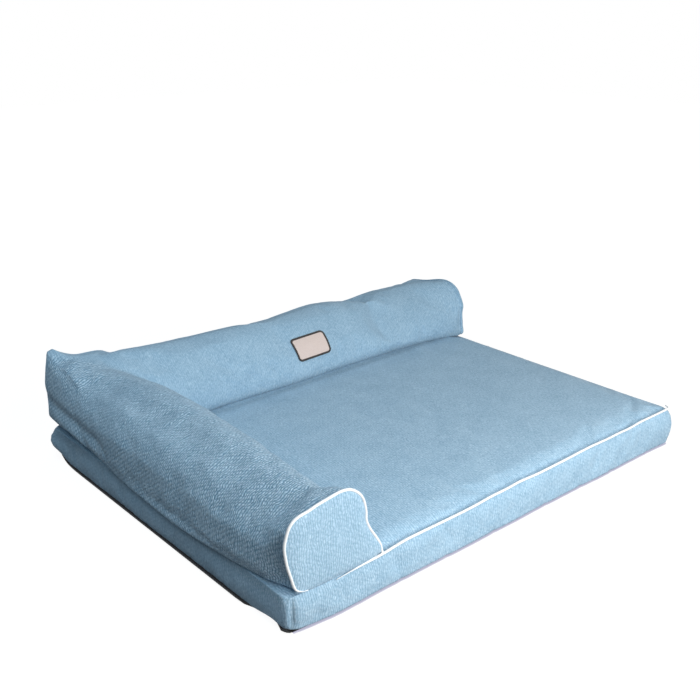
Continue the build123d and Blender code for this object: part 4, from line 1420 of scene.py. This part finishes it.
floor_points = [(FLOOR_HALF * x, FLOOR_HALF * y, FLOOR_Z) for x, y in ((-1, -1), (1, -1), (1, 1), (-1, 1))]
floor = mesh_object("studio_floor", floor_points, [(0, 1, 2, 3)], None)
material, tree = new_material("studio_paper")
do = partial(calc, tree)
place = object_place(tree)
away = add(tree, "ShaderNodeVectorMath", {"operation": "LENGTH"}, _0=place).outputs["Value"]
# Painted contact shadow: where the bed's front nearly touches the paper, its glow is dimmed and tinted mauve.
open_sky = add(tree, "ShaderNodeAmbientOcclusion", {"samples": 12}, Distance=SHADOW_REACH).outputs["AO"]
axes = add(tree, "ShaderNodeSeparateXYZ", Vector=place)
in_front = do("LESS_THAN", axes.outputs["Y"], FRONT + 0.03)
in_front = do("MULTIPLY", in_front, do("GREATER_THAN", axes.outputs["X"], LEFT + 0.014))
shade = do("MULTIPLY", mapped(tree, open_sky, 0.55, 0.90, 1.0, 0.0), in_front)
tint = mixed(tree, shade, (1, 1, 1, 1), linear("#A9A8C2"))
white = add(tree, "ShaderNodeEmission", Color=tint, Strength=mapped(tree, away, 0.7, 1.6, 0.94, 1.0))
matte = add(tree, "ShaderNodeBsdfDiffuse", Color=(0.16, 0.16, 0.16, 1))
paper = add(tree, "ShaderNodeAddShader", _0=white.outputs[0], _1=matte.outputs[0])
grey = add(tree, "ShaderNodeBsdfDiffuse", Color=(0.2, 0.2, 0.21, 1))
both = add(tree, "ShaderNodeMixShader", _0=seen_directly(tree), _1=grey.outputs[0], _2=paper.outputs[0])
add(tree, "ShaderNodeOutputMaterial", Surface=both.outputs[0])
covered(floor, material)

world = bpy.data.worlds.new("studio")
scene.world = world
world.use_nodes = True
tree = world.node_tree
tree.nodes.clear()
seen = seen_directly(tree)
tint = mixed(tree, seen, (0.82, 0.94, 1.06, 1), (1, 1, 1, 1))
sky = add(tree, "ShaderNodeBackground", Color=tint, Strength=mixed(tree, seen, 0.07, 1.0, "FLOAT"))
add(tree, "ShaderNodeOutputWorld", Surface=sky.outputs[0])
print("floor and backdrop ready")

# %% Hang the lamps


def area_lamp(name, at, target, size, power, colour):
    """Rectangular soft lamp that looks at a point."""
    data = bpy.data.lights.new(name, "AREA")
    data.shape = "RECTANGLE"
    data.size, data.size_y = size
    data.energy = power
    data.color = colour
    lamp = bpy.data.objects.new(name, data)
    scene.collection.objects.link(lamp)
    lamp.location = at
    lamp.rotation_euler = (Vector(target) - Vector(at)).to_track_quat("-Z", "Y").to_euler()


area_lamp("key_softbox", (0.03, -1.08, 0.37), (0.03, -0.3, 0.06), (1.5, 0.45), 9.6, (1.0, 0.97, 0.95))
area_lamp("front_softbox", (0.06, -1.0, 0.9), (0.09, -0.1, 0.1), (1.2, 0.6), 5.4, (1.0, 0.98, 0.97))
area_lamp("left_softbox", (-0.9, 0.1, 1.25), (-0.45, 0.1, 0.05), (0.8, 0.9), 7.0, (0.76, 0.90, 1.0))
area_lamp("back_softbox", (0.9, 0.75, 1.1), (0.0, 0.1, 0.05), (0.9, 0.9), 3.4, (0.93, 0.98, 1.0))
scene.view_settings.view_transform = "Standard"
print("lights ready")
